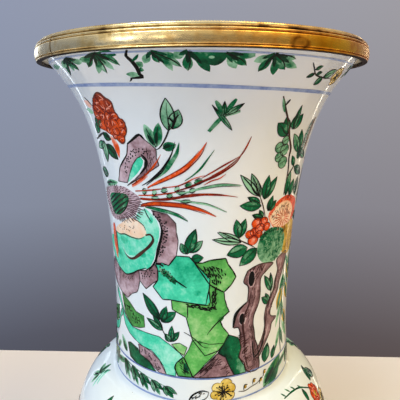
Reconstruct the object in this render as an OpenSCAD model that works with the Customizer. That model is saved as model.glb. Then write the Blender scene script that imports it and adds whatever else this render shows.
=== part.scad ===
// Yen yen vase: a porcelain vase with a trumpet neck, thrown in four sections that are
// luted together with slip, and a moulded gilt bronze mount round the mouth.
// Millimetres, +Z up, origin at the middle of the foot on the table, front towards -Y.

/* [Foot] */
// Height of the foot section, from the table to its luting seam
foot_h = 62; // [54:1:80]
// Outer radius of the spreading foot
foot_r = 71.5; // [67:0.5:78]
// Height of the foot's upright edge
foot_edge_h = 4; // [3:0.5:8]
// Bevel on the lower corner of the foot's edge
foot_bevel = 1.5; // [0.5:0.25:2.5]
// Angle of the foot's flare, from the upright
foot_flare = 40; // [25:1:55]
// Pull of the flare on the foot's curve
flare_pull = 9; // [5:0.5:14]
// Radius of the waist above the foot
waist_r = 62.5; // [58:0.5:66]
// Height of the waist
waist_z = 29; // [24:1:36]
// Pull of the waist on the curves above and below it
waist_pull = 10; // [6:0.5:14]
// Width of the ring that the vase stands on
foot_ring_w = 8; // [5:0.5:11]
// Depth of the recess under the base
recess_h = 11; // [6:0.5:16]
// Draft of the recess wall, in from the ring to the base
recess_draft = 2; // [0.5:0.5:4]
// Thickness of the base
base_t = 7; // [5:0.5:10]
// Radius of the hollow between base and wall, inside the foot
base_hollow_r = 12; // [6:1:18]

/* [Body] */
// Wall of the thrown porcelain
wall = 5.5; // [4:0.25:7]
// Thickness of the luting slip between two sections
slip_t = 1; // [0.5:0.1:2]
// Radius of the body at the foot's luting seam
foot_seam_r = 72.5; // [68:0.5:77]
// Slope of the wall at the foot's luting seam, from the upright
foot_seam_slope = 24; // [15:1:32]
// Pull of that slope on the curves that meet there
foot_seam_pull = 16; // [8:1:24]
// Height of the lower body section
lower_h = 95; // [84:1:115]
// Radius of the belly at its luting seam
belly_r = 101.8; // [95:0.2:108]
// Pull of the belly on the curves above and below it
belly_pull = 47; // [36:1:54]
// Height of the shoulder section
shoulder_h = 69; // [62:1:84]
// Slope of the shoulder's top, down from level
shoulder_slope = 12; // [6:1:24]
// Pull of the shoulder's top on its curve
shoulder_pull = 15; // [8:1:22]
// Radius of the hollow corner between neck and shoulder
corner_r = 4; // [2:0.5:7]

/* [Neck] */
// Height of the neck section, up to the end of its outer curve
neck_h = 221.5; // [200:0.5:240]
// Radius where the neck stands on the shoulder
neck_foot_r = 67.4; // [62:0.2:72]
// Radius of the neck at its narrowest
neck_waist_r = 65.5; // [60:0.5:70]
// Height of the narrowest place above the neck's luting seam
neck_waist_h = 41; // [30:1:60]
// Pull of the neck's foot on its curve
neck_foot_pull = 14; // [6:1:20]
// Pull of the straight neck on the curve of the trumpet
neck_pull = 156; // [120:1:165]
// Radius at the end of the trumpet's outer curve
lip_r = 104.6; // [92:0.2:115]
// Flare of the lip, from the upright
lip_flare = 30; // [20:1:40]
// Pull of the flare on the curve of the trumpet
lip_pull = 26; // [18:1:36]
// Wall of the neck at the lip
lip_wall = 4.3; // [3:0.1:5.5]

/* [Rim mount] */
// Thickness of the plaster bedding round the lip
bed_t = 0.8; // [0.5:0.1:1.5]
// How far the bedding reaches down outside, from the end of the lip's curve
bed_h = 3.5; // [2:0.25:6]
// How far the liner reaches down inside, from the end of the lip's curve
liner_h = 11; // [7:0.5:16]
// Thickness of the liner and of its flange
liner_t = 0.9; // [0.6:0.1:1.5]
// Radial thickness of the collar at its fascia
collar_t = 3.9; // [3.2:0.1:5]
// Height of the fillet along the collar's lower edge
fillet_h = 1.1; // [0.8:0.1:1.6]
// How far the fillet stands back from the fascia
fillet_set = 0.7; // [0.4:0.1:1]
// Height of the plain fascia
fascia_h = 5.9; // [4:0.1:8]
// Bulge of the fascia at mid height
fascia_bulge = 0.2; // [0.1:0.05:0.4]
// Rounding of the fascia's corners
fascia_round = 0.7; // [0.3:0.1:1]
// Height of the reed above the fascia
low_reed_h = 1.3; // [1:0.1:1.8]
// How far the lower reed stands back from the fascia
low_reed_set = 0.6; // [0.3:0.1:1]
// Height of the topmost reed
top_reed_h = 1; // [0.8:0.1:1.4]
// How far the topmost reed stands back from the fascia
top_reed_set = 1.3; // [0.8:0.1:1.6]
// Height of each groove between two mouldings
groove_h = 0.3; // [0.2:0.05:0.5]
// Depth of each groove below the moulding under it
groove_depth = 0.6; // [0.3:0.1:0.8]
// Width of the milled wire on top
wire_w = 1.8; // [1.4:0.1:2.4]
// Height of the milled wire on top
wire_h = 1.7; // [1.2:0.1:2.2]
// Direction of the butt joint in the collar, turning left from the front
seam_turn = 47.5; // [0:0.5:180]
// Width of the butt joint
seam_w = 0.6; // [0.4:0.1:1]
// How far the brazing metal sinks below the mouldings
braze_sink = 0.4; // [0.2:0.1:0.8]

/* [Hidden] */
$fn = 180;
CURVE_STEPS = 28;
SHORT_STEPS = 8;
FRONT = -90;
FULL_TURN = 360;

PORCELAIN = [0.92, 0.93, 0.91];
SLIP = [0.86, 0.84, 0.79];
PLASTER = [0.80, 0.77, 0.70];
GILT = [0.78, 0.60, 0.26];
SOLDER = [0.52, 0.40, 0.20];

// Outlines are lists of [point, outward normal] in the half plane of radius and height, foot to lip.
function unit(v) = v / norm(v);
function right_of(v) = [v[1], -v[0]];
function upward(slope) = [sin(slope), cos(slope)];

function bezier_point(b, t) =
    pow(1 - t, 3) * b[0] + 3 * pow(1 - t, 2) * t * b[1] + 3 * (1 - t) * t * t * b[2] + pow(t, 3) * b[3];

function bezier_heading(b, t) =
    unit(pow(1 - t, 2) * (b[1] - b[0]) + 2 * (1 - t) * t * (b[2] - b[1]) + t * t * (b[3] - b[2]));

function curve(b, steps, from = 0, to = 1) =
    [for (i = [0:steps])
        let (t = from + (to - from) * i / steps)
        [bezier_point(b, t), right_of(bezier_heading(b, t))]];

// Place along a rising curve where it reaches a height, by halving the interval.
function reach(b, height, low = 0, high = 1, halvings = 30) =
    let (middle = (low + high) / 2)
    halvings == 0 ? middle
    : bezier_point(b, middle)[1] < height ? reach(b, height, middle, high, halvings - 1)
    : reach(b, height, low, middle, halvings - 1);

function hollow_arc(centre, radius, from, to, steps) =
    [for (i = [0:steps])
        let (a = from + (to - from) * i / steps)
        [centre + radius * [cos(a), sin(a)], [-cos(a), -sin(a)]]];

function arc(centre, radius, from, to, steps = SHORT_STEPS) =
    [for (i = [0:steps])
        let (a = from + (to - from) * i / steps)
        centre + radius * [cos(a), sin(a)]];

function rest(list) = [for (i = [1:len(list) - 1]) list[i]];
function reversed(list) = [for (i = [len(list) - 1:-1:0]) list[i]];
function last(list) = list[len(list) - 1];
function points(outline) = [for (s = outline) s[0]];
function sunk(outline, depth) = [for (s = outline) s[0] - depth * s[1]];
function shell(outline, depth) = concat(points(outline), reversed(sunk(outline, depth)));

// Luting seams: the lower section ends, the slip fills slip_t along the wall, the upper one starts.
foot_up = upward(foot_seam_slope);
foot_seam = [foot_seam_r, foot_h];
lower_start = foot_seam + slip_t * foot_up;
belly_seam = [belly_r, lower_start[1] + lower_h];
shoulder_start = belly_seam + [0, slip_t];
neck_seam = [neck_foot_r, shoulder_start[1] + shoulder_h];
neck_start = neck_seam + [0, slip_t];

// Foot, waist and the start of the body.
waist = [waist_r, waist_z];
foot_edge = [foot_r, foot_edge_h];
flare_curve = [foot_edge,
               foot_edge + flare_pull * upward(-foot_flare),
               waist - [0, waist_pull],
               waist];
waist_curve = [waist,
               waist + [0, waist_pull],
               foot_seam - foot_seam_pull * foot_up,
               foot_seam];
foot_outline = concat(curve(flare_curve, CURVE_STEPS), rest(curve(waist_curve, CURVE_STEPS)));
base_top = recess_h + base_t;
inner_foot = [for (p = sunk(foot_outline, wall)) if (p[1] > base_top + base_hollow_r) p];
hollow_turn = [inner_foot[0][0] - base_hollow_r, base_top + base_hollow_r];
ring_inner_r = foot_r - foot_bevel - foot_ring_w;

// Body up to the neck.
lower_curve = [lower_start,
               lower_start + 2 * foot_seam_pull * foot_up,
               belly_seam - [0, belly_pull],
               belly_seam];
lower_outline = curve(lower_curve, CURVE_STEPS);
corner = neck_seam + [corner_r, 0];
shoulder_top = corner + corner_r * [-sin(shoulder_slope), -cos(shoulder_slope)];
shoulder_curve = [shoulder_start,
                  shoulder_start + [0, belly_pull],
                  shoulder_top + shoulder_pull * [cos(shoulder_slope), -sin(shoulder_slope)],
                  shoulder_top];
shoulder_outline = concat(curve(shoulder_curve, CURVE_STEPS),
                          rest(hollow_arc(corner, corner_r, FRONT - shoulder_slope, -180, SHORT_STEPS)));

// Trumpet neck, cut where the liner and the bedding end so that they share its surface.
neck_waist = [neck_waist_r, neck_start[1] + neck_waist_h];
lip_up = upward(lip_flare);
lip_end = [lip_r, neck_start[1] + neck_h];
neck_foot_curve = [neck_start,
                   neck_start + [0, neck_foot_pull],
                   neck_waist - [0, neck_foot_pull],
                   neck_waist];
trumpet_curve = [neck_waist, neck_waist + [0, neck_pull], lip_end - lip_pull * lip_up, lip_end];
liner_t0 = reach(trumpet_curve, lip_end[1] - liner_h);
bed_t0 = reach(trumpet_curve, lip_end[1] - bed_h);
bed_zone = curve(trumpet_curve, SHORT_STEPS, bed_t0, 1);
liner_zone = concat(curve(trumpet_curve, SHORT_STEPS, liner_t0, bed_t0), rest(bed_zone));
neck_outline = concat(curve(neck_foot_curve, SHORT_STEPS),
                      rest(curve(trumpet_curve, 2 * CURVE_STEPS, 0, liner_t0)),
                      rest(liner_zone));
function neck_wall(z) = wall + (lip_wall - wall) * (z - neck_start[1]) / neck_h;
function neck_inside(outline, depth = 0) =
    [for (s = outline) s[0] - (neck_wall(s[0][1]) + depth) * s[1]];
lip_round = lip_wall / 2;
lip_centre = lip_end - lip_round * right_of(lip_up);
lip_arc = arc(lip_centre, lip_round, -lip_flare, 180 - lip_flare);

// Rim mount, built out from the lip.
collar_in_r = lip_centre[0] + lip_round + bed_t;
collar_r = collar_in_r + collar_t;
flange_z = lip_centre[1] + lip_round + bed_t;
mount_z = flange_z + liner_t;
bed_line = neck_inside(liner_zone, bed_t);
liner_line = neck_inside(liner_zone, bed_t + liner_t);
collar_h = fillet_h + groove_h + fascia_h + groove_h + low_reed_h + groove_h + top_reed_h;
collar_z = mount_z - collar_h;
groove_r = collar_r - groove_depth;

// Half-round moulding whose belly stands at radius r, from height z to z + h.
function reed(r, z, h) = arc([r - h / 2, z + h / 2], h / 2, FRONT, -FRONT);

// Plain band from height z up, bowed out to the collar's radius, with rounded corners.
function fascia(z) =
    let (edge = collar_r - fascia_bulge - fascia_round,
         low = z + fascia_round,
         high = z + fascia_h - fascia_round,
         half = (high - low) / 2,
         bow_r = (half * half + fascia_bulge * fascia_bulge) / (2 * fascia_bulge),
         bow_a = asin(half / bow_r))
    concat(arc([edge, low], fascia_round, FRONT, -bow_a),
           arc([collar_r - bow_r, low + half], bow_r, -bow_a, bow_a),
           arc([edge, high], fascia_round, bow_a, -FRONT));

function groove(z, set) = [[groove_r - set, z], [groove_r - set, z + groove_h]];

fascia_z = collar_z + fillet_h + groove_h;
low_reed_z = fascia_z + fascia_h + groove_h;
top_reed_z = low_reed_z + low_reed_h + groove_h;
collar_face = concat(reed(collar_r - fillet_set, collar_z, fillet_h),
                     groove(fascia_z - groove_h, fillet_set),
                     fascia(fascia_z),
                     groove(low_reed_z - groove_h, low_reed_set),
                     reed(collar_r - low_reed_set, low_reed_z, low_reed_h),
                     groove(top_reed_z - groove_h, top_reed_set),
                     reed(collar_r - top_reed_set, top_reed_z, top_reed_h));
seam_angle = FULL_TURN * seam_w / (2 * PI * collar_r);
seam_at = FRONT - seam_turn;

module turned(profile) {
    rotate_extrude() polygon(profile);
}

// Slip between two sections, pressed out to a low round ridge inside.
module slip_ring(start, up) {
    out = right_of(up);
    ridge = [for (i = [0:SHORT_STEPS])
        let (a = 180 * i / SHORT_STEPS)
        start - (wall + slip_t / 2 * sin(a)) * out + slip_t * (1 + cos(a)) / 2 * up];
    color(SLIP) turned(concat([start, start + slip_t * up], ridge));
}

module trumpet_neck() {
    color(PORCELAIN)
        turned(concat(points(neck_outline), rest(lip_arc), rest(reversed(neck_inside(neck_outline)))));
}

module shoulder() {
    color(PORCELAIN) turned(shell(shoulder_outline, wall));
}

module lower_body() {
    color(PORCELAIN) turned(shell(lower_outline, wall));
}

module foot() {
    standing_ring = [[ring_inner_r - recess_draft, recess_h],
                     [ring_inner_r, 0],
                     [foot_r - foot_bevel, 0],
                     [foot_r, foot_bevel]];
    dish = reversed(arc(hollow_turn, base_hollow_r, FRONT, 0));
    color(PORCELAIN)
        turned(concat([[0, recess_h]], standing_ring, points(foot_outline),
                      reversed(inner_foot), dish, [[0, base_top]]));
}

module neck_luting_slip() {
    slip_ring(neck_seam, [0, 1]);
}

module belly_luting_slip() {
    slip_ring(belly_seam, [0, 1]);
}

module foot_luting_slip() {
    slip_ring(foot_seam, foot_up);
}

module rim_bedding() {
    over_lip = [[last(bed_line)[0], flange_z], [collar_in_r, flange_z], [collar_in_r, bed_zone[0][0][1]]];
    color(PLASTER)
        turned(concat(points(bed_zone), rest(lip_arc), rest(reversed(neck_inside(liner_zone))),
                      bed_line, over_lip));
}

module rim_liner() {
    flange = [[last(bed_line)[0], flange_z], [collar_in_r, flange_z], [collar_in_r, mount_z]];
    roll = arc([last(liner_line)[0] + liner_t, mount_z - liner_t], liner_t, 90, 180);
    color(GILT) turned(concat(bed_line, flange, roll, reversed(liner_line)));
}

module rim_collar() {
    profile = concat([[collar_in_r, collar_z]], collar_face, [[collar_in_r, mount_z]]);
    color(GILT)
        rotate([0, 0, seam_at + seam_angle / 2])
            rotate_extrude(angle = FULL_TURN - seam_angle) polygon(profile);
}

module collar_seam_braze() {
    braze_t = collar_t - top_reed_set - groove_depth - braze_sink;
    color(SOLDER)
        rotate([0, 0, seam_at - seam_angle / 2])
            rotate_extrude(angle = seam_angle)
                translate([collar_in_r, collar_z + braze_sink])
                    square([braze_t, collar_h - 2 * braze_sink]);
}

module milled_edge() {
    wire_in_r = collar_in_r - wire_w / 2;
    wire_side_h = wire_h - wire_w / 2;
    color(GILT)
        turned(concat([[wire_in_r, mount_z], [wire_in_r + wire_w, mount_z]],
                      arc([collar_in_r, mount_z + wire_side_h], wire_w / 2, 0, 180)));
}

trumpet_neck();
shoulder();
lower_body();
foot();
neck_luting_slip();
belly_luting_slip();
foot_luting_slip();
rim_bedding();
rim_liner();
rim_collar();
collar_seam_braze();
milled_edge();
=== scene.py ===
import bisect
import math
import random

import bpy
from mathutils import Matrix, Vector
from mathutils.geometry import delaunay_2d_cdt


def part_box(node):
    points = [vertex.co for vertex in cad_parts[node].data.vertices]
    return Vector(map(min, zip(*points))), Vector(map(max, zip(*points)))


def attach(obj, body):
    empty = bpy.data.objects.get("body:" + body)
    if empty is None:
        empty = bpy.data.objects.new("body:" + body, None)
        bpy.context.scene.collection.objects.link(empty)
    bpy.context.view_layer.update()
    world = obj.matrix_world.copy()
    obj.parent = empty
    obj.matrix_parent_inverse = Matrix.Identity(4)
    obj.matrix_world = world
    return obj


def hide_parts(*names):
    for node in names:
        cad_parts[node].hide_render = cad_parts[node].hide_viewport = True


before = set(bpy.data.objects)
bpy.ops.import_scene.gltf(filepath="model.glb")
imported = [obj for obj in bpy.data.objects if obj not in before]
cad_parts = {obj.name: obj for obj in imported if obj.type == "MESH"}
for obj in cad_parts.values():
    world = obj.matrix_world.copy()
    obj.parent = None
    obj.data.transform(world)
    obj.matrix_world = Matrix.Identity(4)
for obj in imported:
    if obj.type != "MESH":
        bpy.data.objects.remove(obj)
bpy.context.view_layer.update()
scene = bpy.context.scene

MM = 0.001
TURN = 2 * math.pi
SEGMENTS = 288
# How far a face has to look outward or inward to belong to that side, and down to be an underside
LEAST_FACING = 0.02
LOOKS_DOWN = -0.98
# Millimetres that count as nothing
SAME = 0.01
# Degrees from which an edge looks sharp
TURNED_SHARP = 35
ENAMEL_SHARP = 60
MILLED_SHARP = 80

# Slots of the record that the painting uses
GREEN = "enamel_dark_green"
LEAF = "enamel_leaf_green"
TURQUOISE = "enamel_turquoise"
AUBERGINE = "enamel_aubergine"
RED = "enamel_iron_red"
PEACH = "enamel_peach"
YELLOW = "enamel_yellow"
BLACK = "enamel_black"
BLUE = "underglaze_blue"


# Outlines of the turned pieces, read from the frame

def profile(node, facing):
    """Rising points (radius, height) in mm of a turned node's outside (facing 1) or inside (facing -1)."""
    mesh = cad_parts[node].data
    runs = []
    for face in mesh.polygons:
        outward = Vector((face.center.x, face.center.y, 0)).normalized()
        if facing * face.normal.dot(outward) < LEAST_FACING:
            continue
        corners = [mesh.vertices[i].co for i in face.vertices]
        ring = [(math.hypot(p.x, p.y) / MM, p.z / MM) for p in corners]
        low = min(ring, key=lambda p: p[1])
        high = max(ring, key=lambda p: p[1])
        if high[1] - low[1] > SAME:
            runs.append((low, high))
    runs.sort(key=lambda run: run[0][1] + run[1][1])
    chain = []
    middle = None
    for low, high in runs:
        height = (low[1] + high[1]) / 2
        if middle is not None and height - middle < SAME:
            continue
        middle = height
        if not chain or math.dist(chain[-1], low) > SAME:
            chain.append(low)
        chain.append(high)
    return chain


def underside(node):
    """Height in mm of the highest face that looks straight down."""
    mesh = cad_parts[node].data
    return max(face.center.z for face in mesh.polygons if face.normal.z < LOOKS_DOWN) / MM


def midpoint(a, b):
    return ((a[0] + b[0]) / 2, (a[1] + b[1]) / 2)


class Slip:
    """Luting slip between two sections, halved so that the glaze of each section covers its half."""

    def __init__(self, node):
        outside = profile(node, 1)
        inside = profile(node, -1)
        half = len(inside) // 2
        self.node = node
        self.middle = midpoint(outside[0], outside[-1])
        self.lower_inside = inside[:half + 1]
        self.upper_inside = inside[half:]


class Outline:
    """Outside of the vase as rising (radius, height) points.

    A place is found by its height, or by its run along the wall from the foot.
    """

    def __init__(self, points):
        self.points = points
        self.heights = [p[1] for p in points]
        self.runs = [0.0]
        for a, b in zip(points, points[1:]):
            self.runs.append(self.runs[-1] + math.dist(a, b))

    def _between(self, keys, value):
        i = min(max(bisect.bisect(keys, value), 1), len(keys) - 1)
        a, b = self.points[i - 1], self.points[i]
        share = (value - keys[i - 1]) / (keys[i] - keys[i - 1])
        length = math.dist(a, b)
        radius = a[0] + share * (b[0] - a[0])
        height = a[1] + share * (b[1] - a[1])
        return radius, height, (b[1] - a[1]) / length, (a[0] - b[0]) / length

    def at_height(self, height):
        return self._between(self.heights, height)

    def at_run(self, run):
        return self._between(self.runs, run)


neck_slip = Slip("neck_luting_slip")
belly_slip = Slip("belly_luting_slip")
foot_slip = Slip("foot_luting_slip")
neck_out = [neck_slip.middle] + profile("trumpet_neck", 1)
shoulder_out = [belly_slip.middle] + profile("shoulder", 1) + [neck_slip.middle]
lower_out = [foot_slip.middle] + profile("lower_body", 1) + [belly_slip.middle]
foot_out = profile("foot", 1) + [foot_slip.middle]
outline = Outline(foot_out + lower_out[1:] + shoulder_out[1:] + neck_out[1:])
NECK_RUN = outline.runs[len(outline.runs) - len(neck_out)]


# Meshes

def turned(points, segments=SEGMENTS, start=0.0, sweep=TURN):
    """Vertices and faces of a closed outline of (radius, height) points, outside rising, turned about Z."""
    columns = segments if sweep == TURN else segments + 1
    vertices = []
    rings = []
    for radius, height in points:
        rings.append(len(vertices))
        for j in range(1 if radius < SAME else columns):
            angle = start + sweep * j / segments
            vertices.append((radius * math.cos(angle) * MM, radius * math.sin(angle) * MM, height * MM))
    faces = []
    for i, low in enumerate(rings):
        k = (i + 1) % len(points)
        high = rings[k]
        low_pole = points[i][0] < SAME
        high_pole = points[k][0] < SAME
        if low_pole and high_pole:
            continue
        for j in range(segments):
            n = (j + 1) % columns
            if low_pole:
                faces.append((low, high + n, high + j))
            elif high_pole:
                faces.append((low + j, low + n, high))
            else:
                faces.append((low + j, low + n, high + n, high + j))
    if sweep != TURN:
        faces.append(tuple(rings))
        faces.append(tuple(ring + segments for ring in reversed(rings)))
    return vertices, faces


def add_piece(name, vertices, faces, material, slot, tones=None, sharp=TURNED_SHARP):
    """A piece of the vase: a closed mesh, smooth up to the sharp angle, riding on the one body."""
    mesh = bpy.data.meshes.new(name)
    mesh.from_pydata(vertices, [], faces)
    mesh.shade_smooth()
    mesh.set_sharp_from_angle(angle=math.radians(sharp))
    if tones:
        mesh.attributes.new("tone", "FLOAT", "POINT").data.foreach_set("value", tones)
    mesh.materials.append(material)
    piece = bpy.data.objects.new(name, mesh)
    scene.collection.objects.link(piece)
    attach(piece, "root")
    return piece


# Materials

# Sockets of a mix node that holds colours
MIX_SHARE, MIX_A, MIX_B, MIX_RESULT = 0, 6, 7, 2
# Where the values of a noise node begin and end to matter
CLOUD_LOW, CLOUD_HIGH = 0.3, 0.7


def srgb(red, green, blue):
    """Linear colour of an 8-bit screen colour."""
    def linear(value):
        share = value / 255
        return share / 12.92 if share <= 0.04045 else ((share + 0.055) / 1.055) ** 2.4
    return linear(red), linear(green), linear(blue), 1.0


class Graph:
    """A node tree, with short calls for the kinds of node that are used here."""

    def __init__(self, tree):
        self.tree = tree

    def node(self, kind):
        return self.tree.nodes.new("ShaderNode" + kind)

    def plug(self, socket, value):
        """Link an output to the socket, or set the socket to a number or colour."""
        if isinstance(value, bpy.types.NodeSocket):
            self.tree.links.new(value, socket)
        else:
            socket.default_value = value

    def split(self, vector):
        """The outputs X, Y and Z of a vector."""
        node = self.node("SeparateXYZ")
        self.plug(node.inputs[0], vector)
        return node.outputs

    def math(self, operation, a, b, c=0.0):
        node = self.node("Math")
        node.operation = operation
        for socket, value in zip(node.inputs, (a, b, c)):
            self.plug(socket, value)
        return node.outputs["Value"]

    def range(self, value, low, high, to_low=0.0, to_high=1.0):
        node = self.node("MapRange")
        for socket, number in zip(node.inputs, (value, low, high, to_low, to_high)):
            self.plug(socket, number)
        return node.outputs["Result"]

    def ramp(self, value, stops):
        """Colour from (position, colour) stops."""
        node = self.node("ValToRGB")
        elements = node.color_ramp.elements
        while len(elements) < len(stops):
            elements.new(0.5)
        for element, (position, colour) in zip(elements, stops):
            element.position = position
            element.color = colour
        self.plug(node.inputs["Fac"], value)
        return node.outputs["Color"]

    def mix(self, share, a, b):
        node = self.node("Mix")
        node.data_type = "RGBA"
        for socket, value in ((MIX_SHARE, share), (MIX_A, a), (MIX_B, b)):
            self.plug(node.inputs[socket], value)
        return node.outputs[MIX_RESULT]


class Surface(Graph):
    """The nodes of a new material."""

    def __init__(self, name):
        self.material = bpy.data.materials.new(name)
        self.material.use_nodes = True
        super().__init__(self.material.node_tree)
        self.shader = self.tree.nodes["Principled BSDF"]
        self.place = self.node("TexCoord").outputs["Object"]

    def set(self, name, value):
        self.plug(self.shader.inputs[name], value)

    def stretched(self, x, y, z):
        node = self.node("Mapping")
        node.inputs["Scale"].default_value = (x, y, z)
        self.plug(node.inputs["Vector"], self.place)
        return node.outputs["Vector"]

    def noise(self, size, detail=2.0, place=None):
        """Cloudy value, 0 to 1, with clouds about size metres across."""
        node = self.node("TexNoise")
        node.inputs["Scale"].default_value = 1 / size
        node.inputs["Detail"].default_value = detail
        self.plug(node.inputs["Vector"], place or self.place)
        return node.outputs["Fac"]

    def clouds(self, size, detail, low, high):
        """Cloudy value from low to high."""
        return self.range(self.noise(size, detail), CLOUD_LOW, CLOUD_HIGH, low, high)

    def cells(self, size):
        """Distance from cell centres, as a share of the cell size, and each cell's random colour."""
        node = self.node("TexVoronoi")
        node.inputs["Scale"].default_value = 1 / size
        self.plug(node.inputs["Vector"], self.place)
        return node.outputs["Distance"], node.outputs["Color"]

    def tone(self):
        """The tone that each point of the mesh carries."""
        node = self.node("Attribute")
        node.attribute_name = "tone"
        return node.outputs["Fac"]

    def bump(self, *layers):
        """Bump from (height value, distance in metres) layers, one over the other."""
        normal = None
        for value, distance in layers:
            node = self.node("Bump")
            node.inputs["Distance"].default_value = distance
            self.plug(node.inputs["Height"], value)
            if normal:
                self.plug(node.inputs["Normal"], normal)
            normal = node.outputs["Normal"]
        self.set("Normal", normal)


def glaze_material():
    """Clear glaze on white porcelain: faint clouds, a few iron specks, wheel-thrown unevenness."""
    g = Surface("porcelain_glaze")
    clouds = g.noise(0.05, 3)
    white = g.ramp(clouds, [(0.3, srgb(225, 233, 238)), (0.7, srgb(236, 241, 245))])
    distance, chance = g.cells(0.012)
    spot = g.range(distance, 0.012, 0.03, 1.0, 0.0)
    rare = g.range(chance, 0.72, 0.74)
    g.set("Base Color", g.mix(g.math("MULTIPLY", spot, rare), white, srgb(120, 92, 70)))
    g.set("Roughness", g.clouds(0.008, 3, 0.05, 0.12))
    g.set("Specular IOR Level", 0.55)
    g.bump((g.noise(0.035), 0.0004), (g.noise(0.0016), 0.000006))
    return g.material


def biscuit_material():
    """Bare fired porcelain on the foot ring, turned and worn."""
    g = Surface("biscuit_ring")
    grime = g.noise(0.006, 5)
    g.set("Base Color", g.ramp(grime, [(0.3, srgb(176, 158, 132)), (0.65, srgb(224, 214, 196))]))
    g.set("Roughness", g.range(grime, 0.2, 0.8, 0.85, 0.6))
    g.bump((g.noise(0.0008, 4), 0.00006))
    return g.material


def plaster_material():
    """Grey-white bedding in the rim."""
    g = Surface("bedding_plaster")
    lumps = g.noise(0.0015, 5)
    g.set("Base Color", g.ramp(lumps, [(0.3, srgb(148, 140, 124)), (0.7, srgb(204, 197, 182))]))
    g.set("Roughness", g.range(lumps, 0.2, 0.8, 0.95, 0.8))
    g.bump((lumps, 0.0002))
    return g.material


def gilt_material():
    """Fire gilding, brown where worn, with painted light: paler on the left and along the top, deeper red
    on the right, as the cool and the warm light fall on it. The tone is how dark each point is: grime,
    hollows and notches, and a painted shadow along the collar's lower edge.
    """
    g = Surface("gilt_bronze")
    patches = g.range(g.noise(0.022, 4), 0.48, 0.72, 0.0, 0.45)
    wear = g.range(g.noise(0.006, 5), 0.45, 0.85, 0.0, 0.5)
    # The tone adds grime, the hollows and notches, and a painted shadow along the collar's lower edge
    grime = g.math("MULTIPLY_ADD", g.tone(), 0.6, g.math("ADD", patches, wear))
    # Cool-lit and warm-lit copies of the gilding, mixed below as painted light
    pale = g.ramp(grime, [(0.05, srgb(240, 219, 168)), (0.4, srgb(204, 174, 114)), (0.8, srgb(104, 74, 38)),
                          (1.0, srgb(40, 26, 12))])
    red = g.ramp(grime, [(0.05, srgb(242, 178, 26)), (0.4, srgb(206, 132, 4)), (0.8, srgb(108, 58, 0)),
                         (1.0, srgb(42, 22, 4))])
    place = g.split(g.place)
    # Painted highlight: paler along the top, where the light from above falls
    painted_top_highlight = g.range(place["Z"], 0.4525, 0.4555, 0.0, 0.6)
    # Painted light: paler on the left under the cool light, deeper red on the right under the warm light
    painted_side_and_top_light = g.math("SUBTRACT", g.range(place["X"], -0.05, 0.06), painted_top_highlight)
    g.set("Base Color", g.mix(painted_side_and_top_light, pale, red))
    g.set("Metallic", 1.0)
    scratches = g.noise(0.0012, 4, g.stretched(0.3, 0.3, 3.0))
    g.set("Roughness", g.math("MULTIPLY_ADD", grime, 0.3, g.range(scratches, 0.3, 0.7, 0.16, 0.3)))
    g.bump((g.noise(0.004, 3), 0.00006), (scratches, 0.000006))
    return g.material


def braze_material():
    """Dull brazing metal in the collar's joint."""
    g = Surface("brazing_metal")
    spots = g.noise(0.0012, 4)
    g.set("Base Color", g.ramp(spots, [(0.3, srgb(92, 70, 38)), (0.7, srgb(150, 118, 66))]))
    g.set("Metallic", 1.0)
    g.set("Roughness", g.range(spots, 0.2, 0.8, 0.6, 0.4))
    g.bump((spots, 0.00005))
    return g.material


def enamel_material(slot, dark, middle, pale, rough, cloud):
    """Painted enamel: its tone runs from dark to pale, clouded where the brush left more or less of it."""
    g = Surface(slot)
    clouds = g.clouds(0.008, 4, -cloud, cloud)
    blots = g.clouds(0.0035, 1, -0.4 * cloud, 0.4 * cloud)
    grain = g.clouds(0.0014, 3, -0.09, 0.09)
    tone = g.math("ADD", g.math("ADD", g.tone(), clouds), g.math("ADD", blots, grain))
    g.set("Base Color", g.ramp(tone, [(0.0, srgb(*dark)), (0.5, srgb(*middle)), (1.0, srgb(*pale))]))
    g.set("Roughness", g.clouds(0.005, 3, rough, rough + 0.12))
    g.set("Specular IOR Level", 0.12)
    g.bump((g.noise(0.003, 3), 0.00005))
    return g.material


# Dark, middle and pale colour on the screen, roughness and cloudiness
ENAMEL_LOOKS = {
    GREEN: ((0, 42, 27), (6, 110, 67), (152, 206, 172), 0.1, 0.22),
    LEAF: ((44, 118, 50), (98, 182, 92), (176, 216, 152), 0.1, 0.2),
    TURQUOISE: ((10, 160, 120), (74, 214, 174), (178, 238, 220), 0.1, 0.2),
    AUBERGINE: ((60, 34, 36), (144, 111, 118), (206, 180, 190), 0.12, 0.26),
    RED: ((112, 26, 18), (232, 82, 10), (247, 192, 174), 0.22, 0.15),
    PEACH: ((230, 150, 104), (246, 208, 176), (251, 234, 216), 0.2, 0.22),
    YELLOW: ((108, 74, 18), (212, 176, 66), (240, 220, 142), 0.12, 0.22),
    BLACK: ((4, 6, 5), (26, 22, 20), (92, 56, 42), 0.3, 0.15),
    BLUE: ((86, 106, 160), (126, 148, 200), (174, 190, 220), 0.12, 0.22),
}
ENAMELS = {slot: enamel_material(slot, *looks) for slot, looks in ENAMEL_LOOKS.items()}


# Painting: a flat drawing in mm, laid on the vase as thin raised enamel

# Heights in mm over the glaze
WASH_EDGE = 0.03
WASH_DOME = 0.09
LAYER_STEP = 0.05
LINE_EDGE = 0.17
LINE_CREST = 0.21
ROOT = -0.3
# Distances in mm between the points of an outline or a path
WASH_STEP = 2.4
BLOB_FINEST = 1.0
BLOB_COARSEST = 2.2
STROKE_STEP = 1.4
FACET_STEP = 2.0
LEAF_STEP = 2.5
BAND_STEP = 5.0
SCATTER_STEP = 1.0
# Share of the step by which inner points keep off the outline
INSET = 0.42
# Millimetres within which points are one, and squared millimetres that count as nothing
WELD = 1e-4
NO_LENGTH = 1e-9
# The triangulation's choice to keep only what is inside the outline
INSIDE_ONLY = 1
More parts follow.
